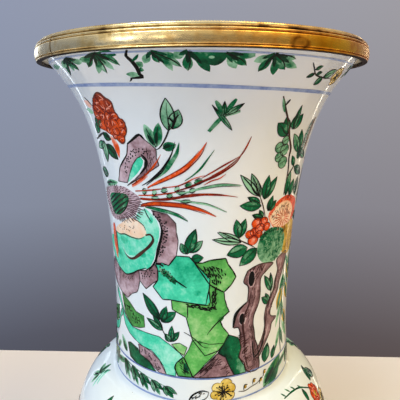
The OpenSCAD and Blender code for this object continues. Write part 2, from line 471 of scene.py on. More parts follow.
# Strokes: points in a cross-section, least half width, shares of the width at the ends, how it wavers
SECTION = 4
THINNEST = 0.07
BRUSH_ENDS = (0.25, 0.15)
LINE_ENDS = (0.5, 0.3)
UNEVEN = 0.1
WAVER = 0.6
# Tones: what the edge of a wash adds, how a leaf fades, and from which tone a leaf is a pale one
DARK_EDGE = -0.08
SOFT_EDGE = 0.3
LEAF_FADE = 0.4
PALE_LEAF = 0.45
# Pieces along each side of a leaf
LEAF_PIECES = 7
# Least and greatest share of their size that scattered marks have
SIZES = (0.6, 1.4)
# All other draws, in a fixed order
HAND = random.Random(11)


def smooth(points, step, closed=False):
    """Points about step apart along a curve through the given points."""
    count = len(points)
    result = []
    for i in range(count if closed else count - 1):
        if closed:
            p0, p1, p2, p3 = (points[(i + k) % count] for k in (-1, 0, 1, 2))
        else:
            p0, p1, p2, p3 = (points[min(max(i + k, 0), count - 1)] for k in (-1, 0, 1, 2))
        pieces = max(1, math.ceil((p2 - p1).length / step))
        for k in range(pieces):
            t = k / pieces
            linear = (p2 - p0) * t
            square = (2 * p0 - 5 * p1 + 4 * p2 - p3) * t ** 2
            cube = (3 * p1 - p0 - 3 * p2 + p3) * t ** 3
            result.append(p1 + 0.5 * (linear + square + cube))
    if not closed:
        result.append(points[-1])
    return result


def straight(points, step):
    """Points about step apart round a closed outline with sharp corners."""
    result = []
    for a, b in zip(points, points[1:] + points[:1]):
        pieces = max(1, math.ceil((b - a).length / step))
        result.extend(a.lerp(b, k / pieces) for k in range(pieces))
    return result


def edge_distance(point, loop):
    """Distance from the loop, negative outside it."""
    inside = False
    nearest = math.inf
    for a, b in zip(loop, loop[1:] + loop[:1]):
        if (a.y > point.y) != (b.y > point.y):
            if point.x < (b.x - a.x) * (point.y - a.y) / (b.y - a.y) + a.x:
                inside = not inside
        along = b - a
        share = min(max((point - a).dot(along) / max(along.length_squared, NO_LENGTH), 0), 1)
        nearest = min(nearest, (point - a - along * share).length)
    return nearest if inside else -nearest


def inner_points(loop, step):
    """Evenly staggered points well inside a loop."""
    low = Vector((min(p.x for p in loop), min(p.y for p in loop)))
    high = Vector((max(p.x for p in loop), max(p.y for p in loop)))
    found = []
    for row in range(1, math.ceil((high.y - low.y) / step) + 1):
        for column in range(math.ceil((high.x - low.x) / step) + 1):
            point = low + Vector((column + 0.5 * (row % 2), row - 0.5)) * step
            if edge_distance(point, loop) > INSET * step:
                found.append(point)
    return found


def heading(turn):
    """Unit vectors along and to the left of a direction given in degrees."""
    angle = math.radians(turn)
    ahead = Vector((math.cos(angle), math.sin(angle)))
    return ahead, Vector((-ahead.y, ahead.x))


def oval(centre, across, tall, turn, start=0.0, end=360.0, count=8):
    """Points of an oval's arc, in degrees from its own long axis."""
    ahead, left = heading(turn)
    steps = count if end - start >= 360 else count - 1
    angles = [math.radians(start + (end - start) * k / steps) for k in range(count)]
    return [Vector(centre) + ahead * across * math.cos(a) + left * tall * math.sin(a) for a in angles]


class Shell:
    """Mesh of all enamel of one colour."""

    def __init__(self):
        self.vertices = []
        self.faces = []
        self.tones = []


class Design:
    """Drawing that place(x, y, lift) lays on the vase. A moved one adds to the same shells."""

    def __init__(self, place, shells=None, move=None, size=1.0):
        self.place = place
        self.shells = {} if shells is None else shells
        self.move = move or (lambda point: point)
        self.size = size

    def moved(self, pivot, to, scale=1.0, flip=False):
        """The same drawing with its pivot at another place, scaled and mirrored."""
        side = -1 if flip else 1

        def step(point):
            x = side * (point.x - pivot[0]) * scale
            y = (point.y - pivot[1]) * scale
            return self.move(Vector(to) + Vector((x, y)))
        return Design(self.place, self.shells, step, self.size * scale)

    def points(self, places):
        return [self.move(Vector(p)) for p in places]

    def put(self, shell, point, lift, tone):
        shell.vertices.append(self.place(point.x, point.y, lift))
        shell.tones.append(tone)

    def wash(self, slot, places, tone, layer=0, curved=True, step=WASH_STEP, edge=DARK_EDGE):
        """Fill of an outline, thin at its edge. The tone is a number or a function of the place."""
        corners = self.points(places)
        rim = smooth(corners, step, True) if curved else straight(corners, step)
        shade = tone if callable(tone) else lambda point: tone
        shell = self.shells.setdefault(slot, Shell())
        loops = [list(range(len(rim)))]
        flat, _, faces, *_ = delaunay_2d_cdt(rim + inner_points(rim, step), [], loops, INSIDE_ONLY, WELD)
        edges = {(a, b) for face in faces for a, b in zip(face, [*face[1:], face[0]])}
        border = sorted((a, b) for a, b in edges if (b, a) not in edges)
        on_rim = {a for pair in border for a in pair}
        first = len(shell.vertices)
        count = len(flat)
        for i, point in enumerate(flat):
            if i in on_rim:
                self.put(shell, point, WASH_EDGE + layer * LAYER_STEP, shade(point) + edge)
            else:
                self.put(shell, point, WASH_DOME + layer * LAYER_STEP, shade(point))
        for point in flat:
            self.put(shell, point, ROOT, shade(point))
        for face in faces:
            shell.faces.append([first + i for i in face])
            shell.faces.append([first + count + i for i in reversed(face)])
        for a, b in border:
            shell.faces.append([first + a, first + count + a, first + count + b, first + b])

    def fade(self, a, b, low, high):
        """Tone that runs from low at one place of the drawing to high at another."""
        start, end = self.points([a, b])
        along = end - start
        return lambda p: low + (high - low) * min(max((p - start).dot(along) / along.length_squared, 0), 1)

    def stroke(self, slot, places, width, tone, ends=BRUSH_ENDS, step=STROKE_STEP, lift=0):
        """Brush stroke along a path: full width in the middle, ends as shares of it, a little uneven.

        The tone is a number, or two for its start and its end.
        """
        line = smooth(self.points(places), step)
        begun, done = tone if isinstance(tone, tuple) else (tone, tone)
        shell = self.shells.setdefault(slot, Shell())
        first = len(shell.vertices)
        rise = lift * LAYER_STEP
        phase = HAND.uniform(0, TURN)
        for i, point in enumerate(line):
            ahead = (line[min(i + 1, len(line) - 1)] - line[max(i - 1, 0)]).normalized()
            left = Vector((-ahead.y, ahead.x))
            t = i / (len(line) - 1)
            end = ends[0] if t < 0.5 else ends[1]
            full = end + (1 - end) * math.sin(math.pi * t)
            uneven = 1 + UNEVEN * math.sin(WAVER * i + phase)
            half = max(width * self.size * full * uneven / 2, THINNEST)
            shade = begun + (done - begun) * t
            self.put(shell, point - left * half, LINE_EDGE + rise, shade)
            self.put(shell, point, LINE_CREST + rise, shade)
            self.put(shell, point + left * half, LINE_EDGE + rise, shade)
            self.put(shell, point, ROOT, shade)
        last = len(shell.vertices) - SECTION
        for a in range(first, last, SECTION):
            b = a + SECTION
            for k in range(SECTION):
                n = (k + 1) % SECTION
                shell.faces.append([a + k, b + k, b + n, a + n])
        shell.faces.append([first + k for k in range(SECTION)])
        shell.faces.append([last + k for k in reversed(range(SECTION))])

    def line(self, places, width, tone=0.3, lift=0):
        self.stroke(BLACK, places, width, tone, LINE_ENDS, lift=lift)

    def outlined(self, slot, places, tone, layer=0, curved=False, *, width, ink=0.3):
        """Wash with a dark line round it."""
        self.wash(slot, places, tone, layer, curved)
        loop = places + places[:1]
        if curved:
            self.stroke(BLACK, loop, width, ink, (0.8, 0.8), lift=layer)
        else:
            for a, b in zip(loop, loop[1:]):
                self.stroke(BLACK, [a, b], width, ink, (0.6, 0.6), FACET_STEP, layer)

    def blob(self, slot, centre, across, tall, tone, layer, turn=0.0, sides=8, edge=DARK_EDGE):
        """Small oval touch of the brush."""
        rim = oval(centre, across, tall, turn, count=sides)
        step = min(max(BLOB_FINEST, across * self.size), BLOB_COARSEST)
        self.wash(slot, rim, tone, layer, step=step, edge=edge)

    def scattered(self, path, count, spread, seed, apart):
        """Random places along a path, with a random direction in degrees and a random size about 1.

        Places too near an earlier one are left out.
        """
        draw = random.Random(seed)
        line = smooth([Vector(p) for p in path], SCATTER_STEP)
        taken = []
        for _ in range(count):
            stray = Vector((draw.uniform(-spread, spread), draw.uniform(-spread, spread)))
            place = line[draw.randrange(len(line))] + stray
            turn, share = draw.uniform(0, 360), draw.uniform(*SIZES)
            if all((place - other).length > apart for other in taken):
                taken.append(place)
                yield place, turn, share

    def dots(self, path, count, spread, size, seed, slot=BLACK, tone=0.2, layer=2):
        """Touches of the brush scattered along a path."""
        for place, turn, share in self.scattered(path, count, spread, seed, 1.7 * size):
            self.blob(slot, place, size * share, 0.8 * size, tone, layer, turn, 6)

    def scribble(self, path, count, spread, size, seed, width=0.55, slot=BLACK, tone=0.15, lift=2,
                 turn=None):
        """Short curved brush marks scattered along a path, in any direction or about the given one."""
        for place, angle, share in self.scattered(path, count, spread, seed, 0.8 * size):
            ahead, left = heading(angle if turn is None else turn + 0.12 * (angle - 180))
            reach = ahead * size * share
            mark = [place - reach, place + left * 0.25 * size, place + reach]
            self.stroke(slot, mark, width, tone, lift=lift)

    def leaf(self, base, tip, width, tone, slot=GREEN, lined=None, bend=0.0, layer=0, full_at=0.85,
             soft=SOFT_EDGE):
        """Leaf, paler to one end. Pale ones have a dark outline, dark ones are soft with a vein."""
        root = Vector(base)
        axis = Vector(tip) - root
        across = Vector((-axis.y, axis.x)) / max(axis.length, SAME)
        start, end = self.points([base, tip])
        along = end - start
        depth = tone + HAND.uniform(0.0, 0.2)
        fade = HAND.choice((-LEAF_FADE, LEAF_FADE))
        outlined = tone > PALE_LEAF if lined is None else lined
        fullness = 0.9 if outlined or lined is not None else 0.65

        def shade(point):
            return depth + fade * ((point - start).dot(along) / along.length_squared - 0.4)

        def at(t, side):
            swell = math.sin(math.pi * t ** full_at) ** fullness if 0 < t < 1 else 0.0
            bow = bend * axis.length * math.sin(math.pi * t)
            return root + axis * t + across * (side * width / 2 * swell + bow)
        steps = [k / LEAF_PIECES for k in range(LEAF_PIECES + 1)]
        right = [at(t, -1) for t in steps]
        left = [at(t, 1) for t in reversed(steps)]
        vein = [at(t, HAND.uniform(-0.15, 0.15)) for t in (0, 0.3, 0.6, 0.85)]
        self.wash(slot, right + left[1:-1], shade, layer, edge=DARK_EDGE if outlined else soft)
        if outlined:
            ink = min(0.35 + 0.4 * max(tone, 0), 0.14 * width)
            for path in (right, left):
                self.stroke(BLACK, path, ink, 0.15, (0.6, 0.5), LEAF_STEP, layer)
            self.stroke(BLACK, vein, 0.4, 0.15, (0.6, 0.2), LEAF_STEP, layer)
            if tone < PALE_LEAF:
                light = [at(t, -0.45) for t in (0.25, 0.5, 0.8)]
                self.stroke(slot, light, 0.3 * width, depth + 0.18, lift=layer)
        elif lined is None:
            shadow = [at(t, 0.35) for t in (0.1, 0.35, 0.6)]
            self.stroke(slot, shadow, 0.3 * width, -0.1, lift=layer)
            self.stroke(BLACK, vein, min(0.55, 0.1 * width), 0.1, (0.9, 0.2), LEAF_STEP, layer)

    def leaves(self, rows, lined=True):
        """Green leaves from rows of base x, base y, tip x, tip y, width and tone."""
        for x, y, tip_x, tip_y, width, tone in rows:
            self.leaf((x, y), (tip_x, tip_y), width, tone, lined=lined)


# Motifs, in mm: x to the right round the vase from its front, y up

# Radii at which x is measured, and the way round the vase there
NECK_REF = 66.0
BODY_REF = 100.0
FOOT_REF = 62.0
NECK_ROUND = TURN * NECK_REF
BODY_ROUND = TURN * BODY_REF
FOOT_ROUND = TURN * FOOT_REF
BAND_PIECES = 96


def laid(turn, radius, height, out, up, lift):
    """Place in metres at a turn from the front, lifted off the wall along its normal (out, up)."""
    reach = radius + lift * out
    return reach * math.sin(turn) * MM, -reach * math.cos(turn) * MM, (height + lift * up) * MM


def on_neck(x, height, lift):
    """x is measured at the neck's narrowest radius, and y is the height on the vase."""
    return laid(x / NECK_REF, *outline.at_height(height), lift)


def on_body(x, rise, lift):
    """x is measured at the belly's radius, and y along the wall from the neck's foot, negative below it."""
    return laid(x / BODY_REF, *outline.at_run(NECK_RUN + rise), lift)


def on_foot(x, height, lift):
    """x is measured at the waist's radius, and y is the height on the vase."""
    return laid(x / FOOT_REF, *outline.at_height(height), lift)


def band_line(c, reference, height, width, slant=0.0, tone=0.55):
    """Blue line right round the vase."""
    turns = [TURN * (k / BAND_PIECES - 0.5) for k in range(BAND_PIECES + 1)]
    path = [(reference * turn, height - slant * math.sin(turn)) for turn in turns]
    c.stroke(BLUE, path, width, tone, (1, 1), BAND_STEP)


def bamboo(c, root, tips, width=2.3):
    """Bamboo leaves fanning out from one joint, dark down the middle, every other one with a black line."""
    for k, (x, y) in enumerate(tips):
        tone = (0.36, 0.18, 0.28, 0.5)[k % 4] + HAND.uniform(-0.1, 0.1)
        bend = HAND.uniform(-0.1, 0.1)
        c.leaf(root, (x, y), 1.3 * width, tone, GREEN, False, bend, 0, 1.5, 0.22)
        middle = (0.4 * root[0] + 0.6 * x, 0.4 * root[1] + 0.6 * y)
        c.stroke(GREEN, [root, middle], 0.6 * width, tone - 0.3, (0.9, 0.1))
        if k % 2:
            beside = (middle[0] + 0.3 * width, middle[1] + 0.2 * width)
            c.stroke(BLACK, [root, beside, (x, y)], 0.5, 0.1, (0.9, 0.3), lift=1)


def bamboo_border(c):
    """Bamboo that hangs from the rim, with a broken twig."""
    c.wash(GREEN, [(-4.5, 444.4), (7, 444.4), (8, 442), (6.5, 439.3), (4.2, 438), (1.5, 438.8), (-2, 440.5),
                   (-5, 442.5)], c.fade((3, 444), (4, 438), 0.3, -0.05), 1, edge=0.12)
    c.blob(GREEN, (3, 441.7), 1.0, 0.6, 1.1, 3)
    c.wash(GREEN, [(7, 444.4), (15.5, 444.6), (17.2, 442.6), (13, 441.6), (9, 440.6)], 0.5, edge=0.25)
    bamboo(c, (-55, 444.5), [(-64, 440.5), (-62, 436), (-56, 438), (-52, 438), (-46, 442)])
    bamboo(c, (-38, 445), [(-48, 442.5), (-45, 439), (-41.5, 435.6), (-37, 435.6), (-33, 437), (-29.5, 439),
                           (-29, 443.5)])
    bamboo(c, (-16.5, 444.5), [(-20, 439.3), (-14.5, 439.5), (-10.3, 435.7), (-7, 437.5), (-7.5, 441.5)])
    bamboo(c, (-4.5, 444.3), [(-9.5, 441.5), (-5, 435.7), (2.7, 435.2)], 2.8)
    bamboo(c, (7.5, 443.5), [(11.7, 436.8), (15.2, 438.3), (17.5, 442.4)], 2.6)
    bamboo(c, (24, 443.7), [(17.3, 440), (20, 435.7), (26.5, 434.2), (30.5, 437), (35.6, 438), (33, 442)],
           2.6)
    c.line([(-24.5, 445.3), (-25.6, 443), (-24.3, 440.8), (-23.2, 437.5), (-23, 434.5), (-22.2, 433.3),
            (-27.5, 432.8)], 1.7, 0.1)
    c.stroke(GREEN, [(-24.3, 440.5), (-22.5, 441.7), (-21, 443.3)], 1.2, 0.2)
    c.leaves([(-23, 438, -20.5, 440, 3, 0.3), (-22.8, 437, -20.8, 436.2, 2, 0.2),
              (-23, 434, -28.8, 434.8, 2.8, 0.5)], lined=False)
    c.line([(-26.5, 433), (-28.2, 431.3)], 0.8, 0.2)


def border_sprig(c):
    """Thin stem with a few leaves and a yellow blossom, under the rim."""
    c.line([(42, 441), (45, 438), (48, 435.5), (54, 434.5), (61, 434.5)], 0.8)
    c.leaves([(45.5, 438, 49, 440, 2, 0.3), (47, 436, 43, 434, 2, 0.1), (48, 436, 51, 437, 2, 0.3),
              (54, 434.5, 61.5, 439, 4, 0.6), (54, 434.5, 50.5, 430.5, 3.6, 0.4)])
    blossom(c, (66.5, 436), 4.8)


BLOSSOM_PETALS = 6
STAMENS = 24
FULL_BLOSSOM = 8


def blossom(c, centre, reach):
    """Open yellow flower: uneven petals with faint edges and brown stamens, fewer when it is small."""
    for k in range(BLOSSOM_PETALS):
        turn = 360 * (k + 0.25) / BLOSSOM_PETALS + HAND.uniform(-9, 9)
        middle = Vector(centre) + heading(turn)[0] * reach * HAND.uniform(0.5, 0.62)
        wide = reach * HAND.uniform(0.36, 0.48)
        c.blob(YELLOW, middle, reach * 0.46, wide, 0.7 + 0.15 * (k % 3 - 1), 0, turn, 10)
        c.stroke(BLACK, oval(middle, reach * 0.45, wide, turn, -80, 80, 6), 0.4, 0.85)
    stamens = round(STAMENS * min(1.0, reach / FULL_BLOSSOM))
    for k in range(stamens):
        ahead, left = heading(360 * k / stamens + HAND.uniform(-9, 9))
        tip = Vector(centre) + ahead * reach * HAND.uniform(0.35, 0.78)
        bow = Vector(centre).lerp(tip, 0.55) + left * HAND.uniform(-0.06, 0.06) * reach
        c.stroke(BLACK, [Vector(centre), bow, tip], 0.07 * reach, 0.45)
        c.blob(BLACK, tip, 0.06 * reach, 0.06 * reach, 0.5, 2, 0, 6)
    c.blob(BLACK, centre, reach * 0.14, reach * 0.14, 0.6, 2)


def petal(c, centre, across, tall, turn, tone):
    """Red petal with a dark edge and a few pale and dark folds, none quite even."""
    lean = turn + HAND.uniform(-35, 35)
    grow = HAND.uniform(0.85, 1.15)
    c.blob(RED, centre, across * grow, tall * grow, tone, 1, lean, 10)
    c.stroke(RED, oval(centre, across * grow, tall * grow, lean, -130, 120, 6), 0.6, -0.25, lift=1)
    for fold, width in ((0.78, 0.7), (0.66, 0.6), (-0.2, 0.5), (-0.2, 0.45)):
        ahead, left = heading(HAND.uniform(0, 360))
        middle = Vector(centre) + left * HAND.uniform(-0.5, 0.5) * tall
        reach = ahead * 0.55 * across
        bow = left * HAND.uniform(-0.6, 0.6)
        c.stroke(RED, [middle - reach, middle + bow, middle + reach], width, fold, lift=1)


# Centre x and y, half width, half height, turn and tone
PEONY_PETALS = [
    (-48.8, 422.8, 3.2, 2.8, 95, 0.14), (-53.2, 421, 3, 2.6, 140, 0.18), (-45, 420.3, 2.8, 3, 30, 0.16),
    (-50, 418, 3, 2.2, 280, 0.2), (-55, 417.3, 2.8, 2.4, 170, 0.24), (-46.3, 416.5, 2.6, 2, 250, 0.2),
    (-58, 413.5, 2.6, 3, 180, 0.34), (-53.3, 413, 3, 2.4, 120, 0.26), (-57.3, 408, 2.8, 2.6, 200, 0.44),
    (-48.5, 412.5, 3.2, 2.4, 100, 0.36), (-44, 413, 2.6, 2.2, 40, 0.34), (-40.8, 409, 2.4, 2.8, 10, 0.46),
    (-45.5, 409, 2.8, 2.4, 80, 0.44), (-50.5, 408.5, 2.8, 2.6, 160, 0.36),
    (-41.5, 404.5, 2.6, 2.6, 330, 0.5),
    (-46, 404.8, 3, 2.4, 270, 0.48), (-51.3, 404.8, 2.8, 2.2, 220, 0.42), (-43, 400.2, 2.4, 2.4, 290, 0.5),
    (-47.5, 401.8, 2.2, 2, 250, 0.46),
]


def peony(c):
    """Full peony, brick red above and orange below, with its bud and leaves."""
    c.leaves([(-66, 402.5, -59.5, 410, 5, 0.5), (-63, 406.5, -56, 413, 6, 0.08),
              (-59, 402, -52, 399.3, 5, 0.2), (-58.5, 396, -50, 387, 7.5, 0.12),
              (-60.5, 398, -62.5, 384.3, 6, 0.75), (-60, 397, -71, 393, 5, 0.5),
              (-65.5, 376, -76, 378, 7, 0.25)])
    c.line([(-70, 398.3), (-65.5, 400.3), (-61.5, 401.8), (-57, 403.5)], 1.3, 0.05)
    edge = [(-56.5, 421.5), (-53, 424.5), (-49, 426.2), (-45.5, 423.8), (-42.5, 420.8), (-42.6, 416.5),
            (-41, 412.5), (-38.5, 409.5), (-38.3, 405), (-40.5, 401.5), (-41.7, 398), (-44.3, 397.3),
            (-47.5, 400.3), (-51, 402), (-55, 404), (-59.5, 406), (-61, 412), (-60, 417.5)]
    c.wash(RED, edge, c.fade((-50, 422), (-46, 402), 0.12, 0.4))
    c.leaf((-51.8, 401.5), (-48.8, 388), 4.5, 0.35, RED, False, 0.1)
    for x, y, across, tall, turn, tone in PEONY_PETALS:
        petal(c, (x, y), across, tall, turn, tone)
    c.stroke(BLACK, edge[:7], 0.7, 0.85, (0.5, 0.5), lift=1)
    c.stroke(BLACK, edge[6:13], 0.6, 0.95, (0.5, 0.5), lift=1)
    c.leaf((-60, 418.5), (-66.5, 422), 4, 0.85, RED, False)
    c.line([(-59, 419), (-61.5, 422.5), (-63.5, 424)], 0.7, 0.8)
    c.leaf((-61, 415), (-69, 417), 3.4, 0.8, lined=False)


def leaf_spray(c):
    """Bare stem with broad leaves."""
    c.line([(-14.5, 409), (-16, 404.5), (-18.5, 399.5), (-21.5, 395.5), (-24, 394.5)], 0.9)
    c.leaves([(-15.5, 405.5, -15, 423, 6.5, 0.8), (-13.5, 406.5, -10, 417, 6.4, 0.5)])
    c.leaves([(-23, 396, -27.5, 409, 5.5, 0.45), (-22.5, 396.5, -20, 410, 5, 0.4),
              (-19.5, 395.5, -12.5, 398, 5.4, 0.2)], lined=None)
    for path in [[(-13.8, 406.5), (-12.2, 411.5), (-9.8, 414.5)], [(-12.5, 409.5), (-14.6, 413)]]:
        c.line(path, 1.0, 0.05, 2)


def star_sprig(c):
    """Crossed narrow blades on a short stem."""
    c.stroke(GREEN, [(9, 413.5), (6, 409.5), (3, 405.3)], 2.0, 0.65, (0.6, 0.9))
    for x, y, tone in [(5.5, 421.5, 0.6), (14, 422.5, 0.5), (16.5, 416, 0.8), (12, 419, 0.2)]:
        c.stroke(GREEN, [(9.5, 414), (0.5 * (9.5 + x), 0.5 * (414.3 + y)), (x, y)], 2.2, tone, (0.5, 0.4))
    for a, b, width, tone in [((13.8, 405.8), (4, 419.5), 2.3, 0.7),
                              ((9.8, 413.8), (17.8, 420.3), 2.6, 0.85),
                              ((9.5, 414), (9.2, 421.3), 2.0, 0.35)]:
        c.leaf(a, b, width, tone, lined=True, layer=1)
        c.line([Vector(a).lerp(Vector(b), 0.75), Vector(b)], 0.9, 0.1, 2)
    c.line([(10, 414.5), (13, 415), (16.5, 416.8)], 0.5, 0.2, 2)
    c.blob(GREEN, (9.6, 414.3), 1.6, 1.4, 0.05, 2)


def holed_rock(c):
    """Aubergine rock with a hole that shows turquoise."""
    hole = [(-46, 371), (-43.5, 373), (-39.5, 375.5), (-35, 379.5), (-31.5, 384), (-30.5, 388),
            (-32.5, 390.5), (-35.5, 389), (-39, 385), (-42.5, 379), (-45.5, 373)]
    c.outlined(AUBERGINE, [(-54, 373), (-52, 377), (-50, 382), (-46, 386.5), (-42, 391), (-40, 397.5),
                           (-36, 400), (-31.5, 403), (-29, 400.5), (-25.5, 397.5), (-23, 395), (-23.5, 390),
                           (-22.5, 385.5), (-29, 381), (-34.5, 377.5), *hole],
               c.fade((-25, 384), (-40, 392), 0.5, 0.85), width=0.5, ink=0.4)
    c.wash(TURQUOISE, [(-45, 373.5), (-42.5, 379), (-39, 385), (-35.5, 388.7), (-33, 390), (-31.7, 388),
                       (-32.5, 385), (-35.8, 380.8), (-40, 377)], c.fade((-36, 388), (-43, 375), 0.45, 0.8))
    c.line([(-52, 377), (-50, 382), (-46, 386.5), (-42, 391), (-40, 397)], 0.9, 0.2)
    c.line([(-40, 397.3), (-36, 400), (-31.3, 403), (-28.7, 400.3)], 1.5, 0.05)
    c.line([(-32.3, 391.6), (-29.8, 388.7), (-30, 385.5), (-32, 382.5), (-35, 379.5)], 1.7, 0.05)
    c.dots([(-46, 380.5), (-41, 388.5), (-37, 392), (-33, 394.5), (-29, 393)], count=60, spread=1.5,
           size=0.6, seed=3)
    c.scribble([(-27.5, 393), (-26.5, 388), (-28.5, 383)], count=34, spread=1.7, size=1.0, seed=4,
               width=0.4, slot=AUBERGINE, tone=-0.2, lift=1, turn=75)


# Colour, tone, width and path of each feather
TAIL = [
    (RED, 0.3, 1.3, [(-42, 372), (-36, 375.5), (-31, 379.5), (-26.5, 384), (-23, 388.5), (-21, 392)]),
    (RED, 0.7, 0.9, [(-42, 371), (-36, 374.3), (-30, 378.8)]),
    (GREEN, 0.6, 2.6, [(-26, 377), (-20, 382), (-15.5, 388), (-12.5, 393), (-11, 399)]),
    (BLACK, 0.05, 1.3, [(-34.5, 372.5), (-28.5, 376.3), (-23, 381.2), (-18.3, 386.8), (-15, 393),
                        (-13, 399.5)]),
    (BLACK, 0.1, 0.8, [(-31.5, 373), (-26, 377.3), (-21.5, 381.3), (-18, 386)]),
    (RED, (0.5, 0.4), 2.4, [(-31, 371.5), (-24, 375.5), (-17, 379), (-10, 383.5), (-5, 388.5), (-1, 393.5),
                              (2.2, 399.5)]),
    (RED, -0.1, 0.8, [(-28, 372.6), (-16, 378.3), (-9, 382.6), (-4, 387.6), (-0.2, 392.8), (2.2, 399)]),
    (RED, 0.0, 0.6, [(-24, 376.3), (-17, 380.2), (-10, 384.8), (-5, 389.8), (-1.5, 394.5)]),
    (GREEN, 0.4, 1.1, [(-9, 377), (-5, 380), (-1, 384), (2, 388.5), (6, 395)]),
    (RED, 0.25, 0.8, [(-22, 372.3), (-14, 373.5), (-9, 375.5), (-4, 378.5), (1.5, 380.3)]),
    (RED, 0.05, 1.0, [(0, 378.8), (5, 382), (11, 386), (15, 388.5), (19.5, 391.3)]),
    (RED, -0.1, 1.6, [(-15, 370.2), (-6, 373.5), (0, 376.5), (6, 379.5), (12, 383), (17, 387),
                      (19.7, 391)]),
    (RED, 0.05, 0.8, [(5, 380), (11, 383.5), (16, 387.5), (19.5, 391)]),
    (RED, 0.2, 0.8, [(1, 374.5), (5, 377), (9, 378.3), (12.5, 381)]),
    (RED, 0.0, 1.0, [(18.5, 389.8), (21.5, 395), (24, 402.3)]),
    (RED, 0.25, 0.9, [(-40, 368.5), (-30, 370), (-20, 372)]),
    (RED, 0.25, 0.9, [(-38, 366), (-27, 367.3), (-17, 369.3), (-9, 371)]),
    (GREEN, 0.8, 1.7, [(-14, 369.3), (-8, 370), (-3, 371.8), (3, 373.2), (10, 374.3), (16, 374.3),
                       (22, 373.6)]),
    (BLACK, 0.6, 0.35, [(-2, 372.5), (5, 374.5), (12, 375.2), (21, 374)]),
    (BLACK, 0.6, 0.35, [(2, 372.3), (9, 373.4), (15, 373.5), (21, 373.2)]),
    (RED, 0.05, 1.8, [(-37, 364), (-25, 364.6), (-16, 366), (-8, 367.8), (0, 368.8), (8, 368.6),
                      (14, 367.8), (20, 366.6)]),
    (GREEN, 0.85, 1.4, [(-16, 365), (-9, 364.4), (-3, 363.8), (3, 362.8), (8, 360.5), (14, 357.5)]),
    (BLACK, 0.6, 0.35, [(-6, 364.7), (2, 363.5), (8, 361), (14, 357.8)]),
    (RED, 0.36, 2.7, [(-37, 359.5), (-30, 361.5), (-22, 362.2), (-12, 361.8), (-5, 360.7), (2, 358),
                      (8, 355)]),
    (RED, -0.1, 0.7, [(-36, 360.8), (-28, 363), (-20, 363.4), (-10, 362.9), (0, 360), (8, 355.4)]),
    (RED, -0.1, 0.7, [(-37, 359.4), (-28, 360.6), (-18, 360.9), (-8, 360), (2, 356.8)]),
    (GREEN, 0.5, 2.2, [(-34, 359), (-28, 358.6), (-20, 357.5), (-14, 355.5), (-8, 352)]),
    (BLACK, 0.2, 0.5, [(-34, 359.8), (-26, 359.5), (-18, 358), (-12, 355.8), (-8, 352.4)]),
]
# Centre x and y, half width, half height and tone
TAIL_SPOTS = [
    (-33.5, 369, 1.3, 1.7, 0.7), (-27, 369, 1.3, 1.6, 0.75), (-21, 370.6, 1.7, 1.3, 0.6),
    (-18, 367.5, 1.7, 1.2, 0.7),
    (-27, 365.6, 2.2, 0.9, 0.85), (-13.5, 371.7, 1.3, 1.6, 0.85), (-11, 369.5, 1.9, 1.1, 0.6),
    (-7.3, 374.5, 1.7, 1.5, 0.25), (-2, 376.6, 2, 1.6, 0.25), (-5.3, 371.2, 1.5, 1.3, 0.4),
    (-9, 364.5, 2.6, 0.9, 0.8),
]
BROAD_FEATHER = 1.2
# Feathers that begin to the left of this come out from under the back at nearly their full width
BACK_EDGE = -35
RING_FEATHERS = 44
# Shares of the way out at which the feathers of each row of the ring start and end
RING_ROWS = ((0.0, 0.34), (0.28, 0.6), (0.54, 0.9), (0.8, 1.2))


def tail(c):
    """Long tail feathers and the spots on them."""
    for slot, tone, width, path in TAIL:
        begin = 0.7 if path[0][0] < BACK_EDGE else 0.3
        c.stroke(slot, path, width, tone, (begin, 0.08), lift=int(width < BROAD_FEATHER))
        if slot == RED and width > BROAD_FEATHER:
            c.scribble(path[:3], count=6, spread=0.6, size=0.7, seed=round(width * 9), width=0.35, slot=RED,
                       tone=-0.1, lift=1, turn=35)
    for x, y, across, tall, tone in TAIL_SPOTS:
        tip = (x + 1.2 * across, y + 0.6 * tall)
        c.leaf((x - 1.2 * across, y - 0.6 * tall), tip, 1.4 * tall, tone - 0.15, lined=False, layer=2)
        below = [(x - across, y - 0.5 * tall), (x, y - 1.1 * tall), (x + 1.3 * across, y)]
        above = [(x - 0.9 * across, y + 0.4 * tall), (x, y + 1.1 * tall), (x + across, y + tall)]
        c.line(below, 0.7, 0.1, 3)
        c.line(above, 0.55, 0.5, 3)


def feather_ring(c):
    """Rows of short feathers round the back."""
    c.wash(AUBERGINE, [(-49.5, 370), (-57, 369.5), (-66, 368), (-76, 364), (-79, 356), (-74, 348),
                       (-64, 345.5), (-51.5, 349), (-45.5, 351), (-42, 354), (-39, 358.5), (-37, 362),
                       (-38, 365), (-43.5, 368)], 0.85, 1)
    for k in range(RING_FEATHERS):
        for row, (start, end) in enumerate(RING_ROWS):
            ahead, _ = heading(360 * (k + 0.5 * (row % 2) + HAND.uniform(-0.2, 0.2)) / RING_FEATHERS)
            near = Vector((-59.5 + 13 * ahead.x, 357.3 + 8.0 * ahead.y))
            far = Vector((-58.2 + 21.2 * ahead.x, 358.2 + 11.8 * ahead.y))
            tip = near.lerp(far, end) + Vector((0.4, -0.5))
            c.stroke(AUBERGINE, [near.lerp(far, start), tip], 0.6, 0.0, lift=1)
            if row == 0 and ahead.x > -0.2 and ahead.y < 0.25:
                c.stroke(AUBERGINE, [near.lerp(far, -0.35), near.lerp(far, 0.08)], 0.6, 0.0, lift=1)


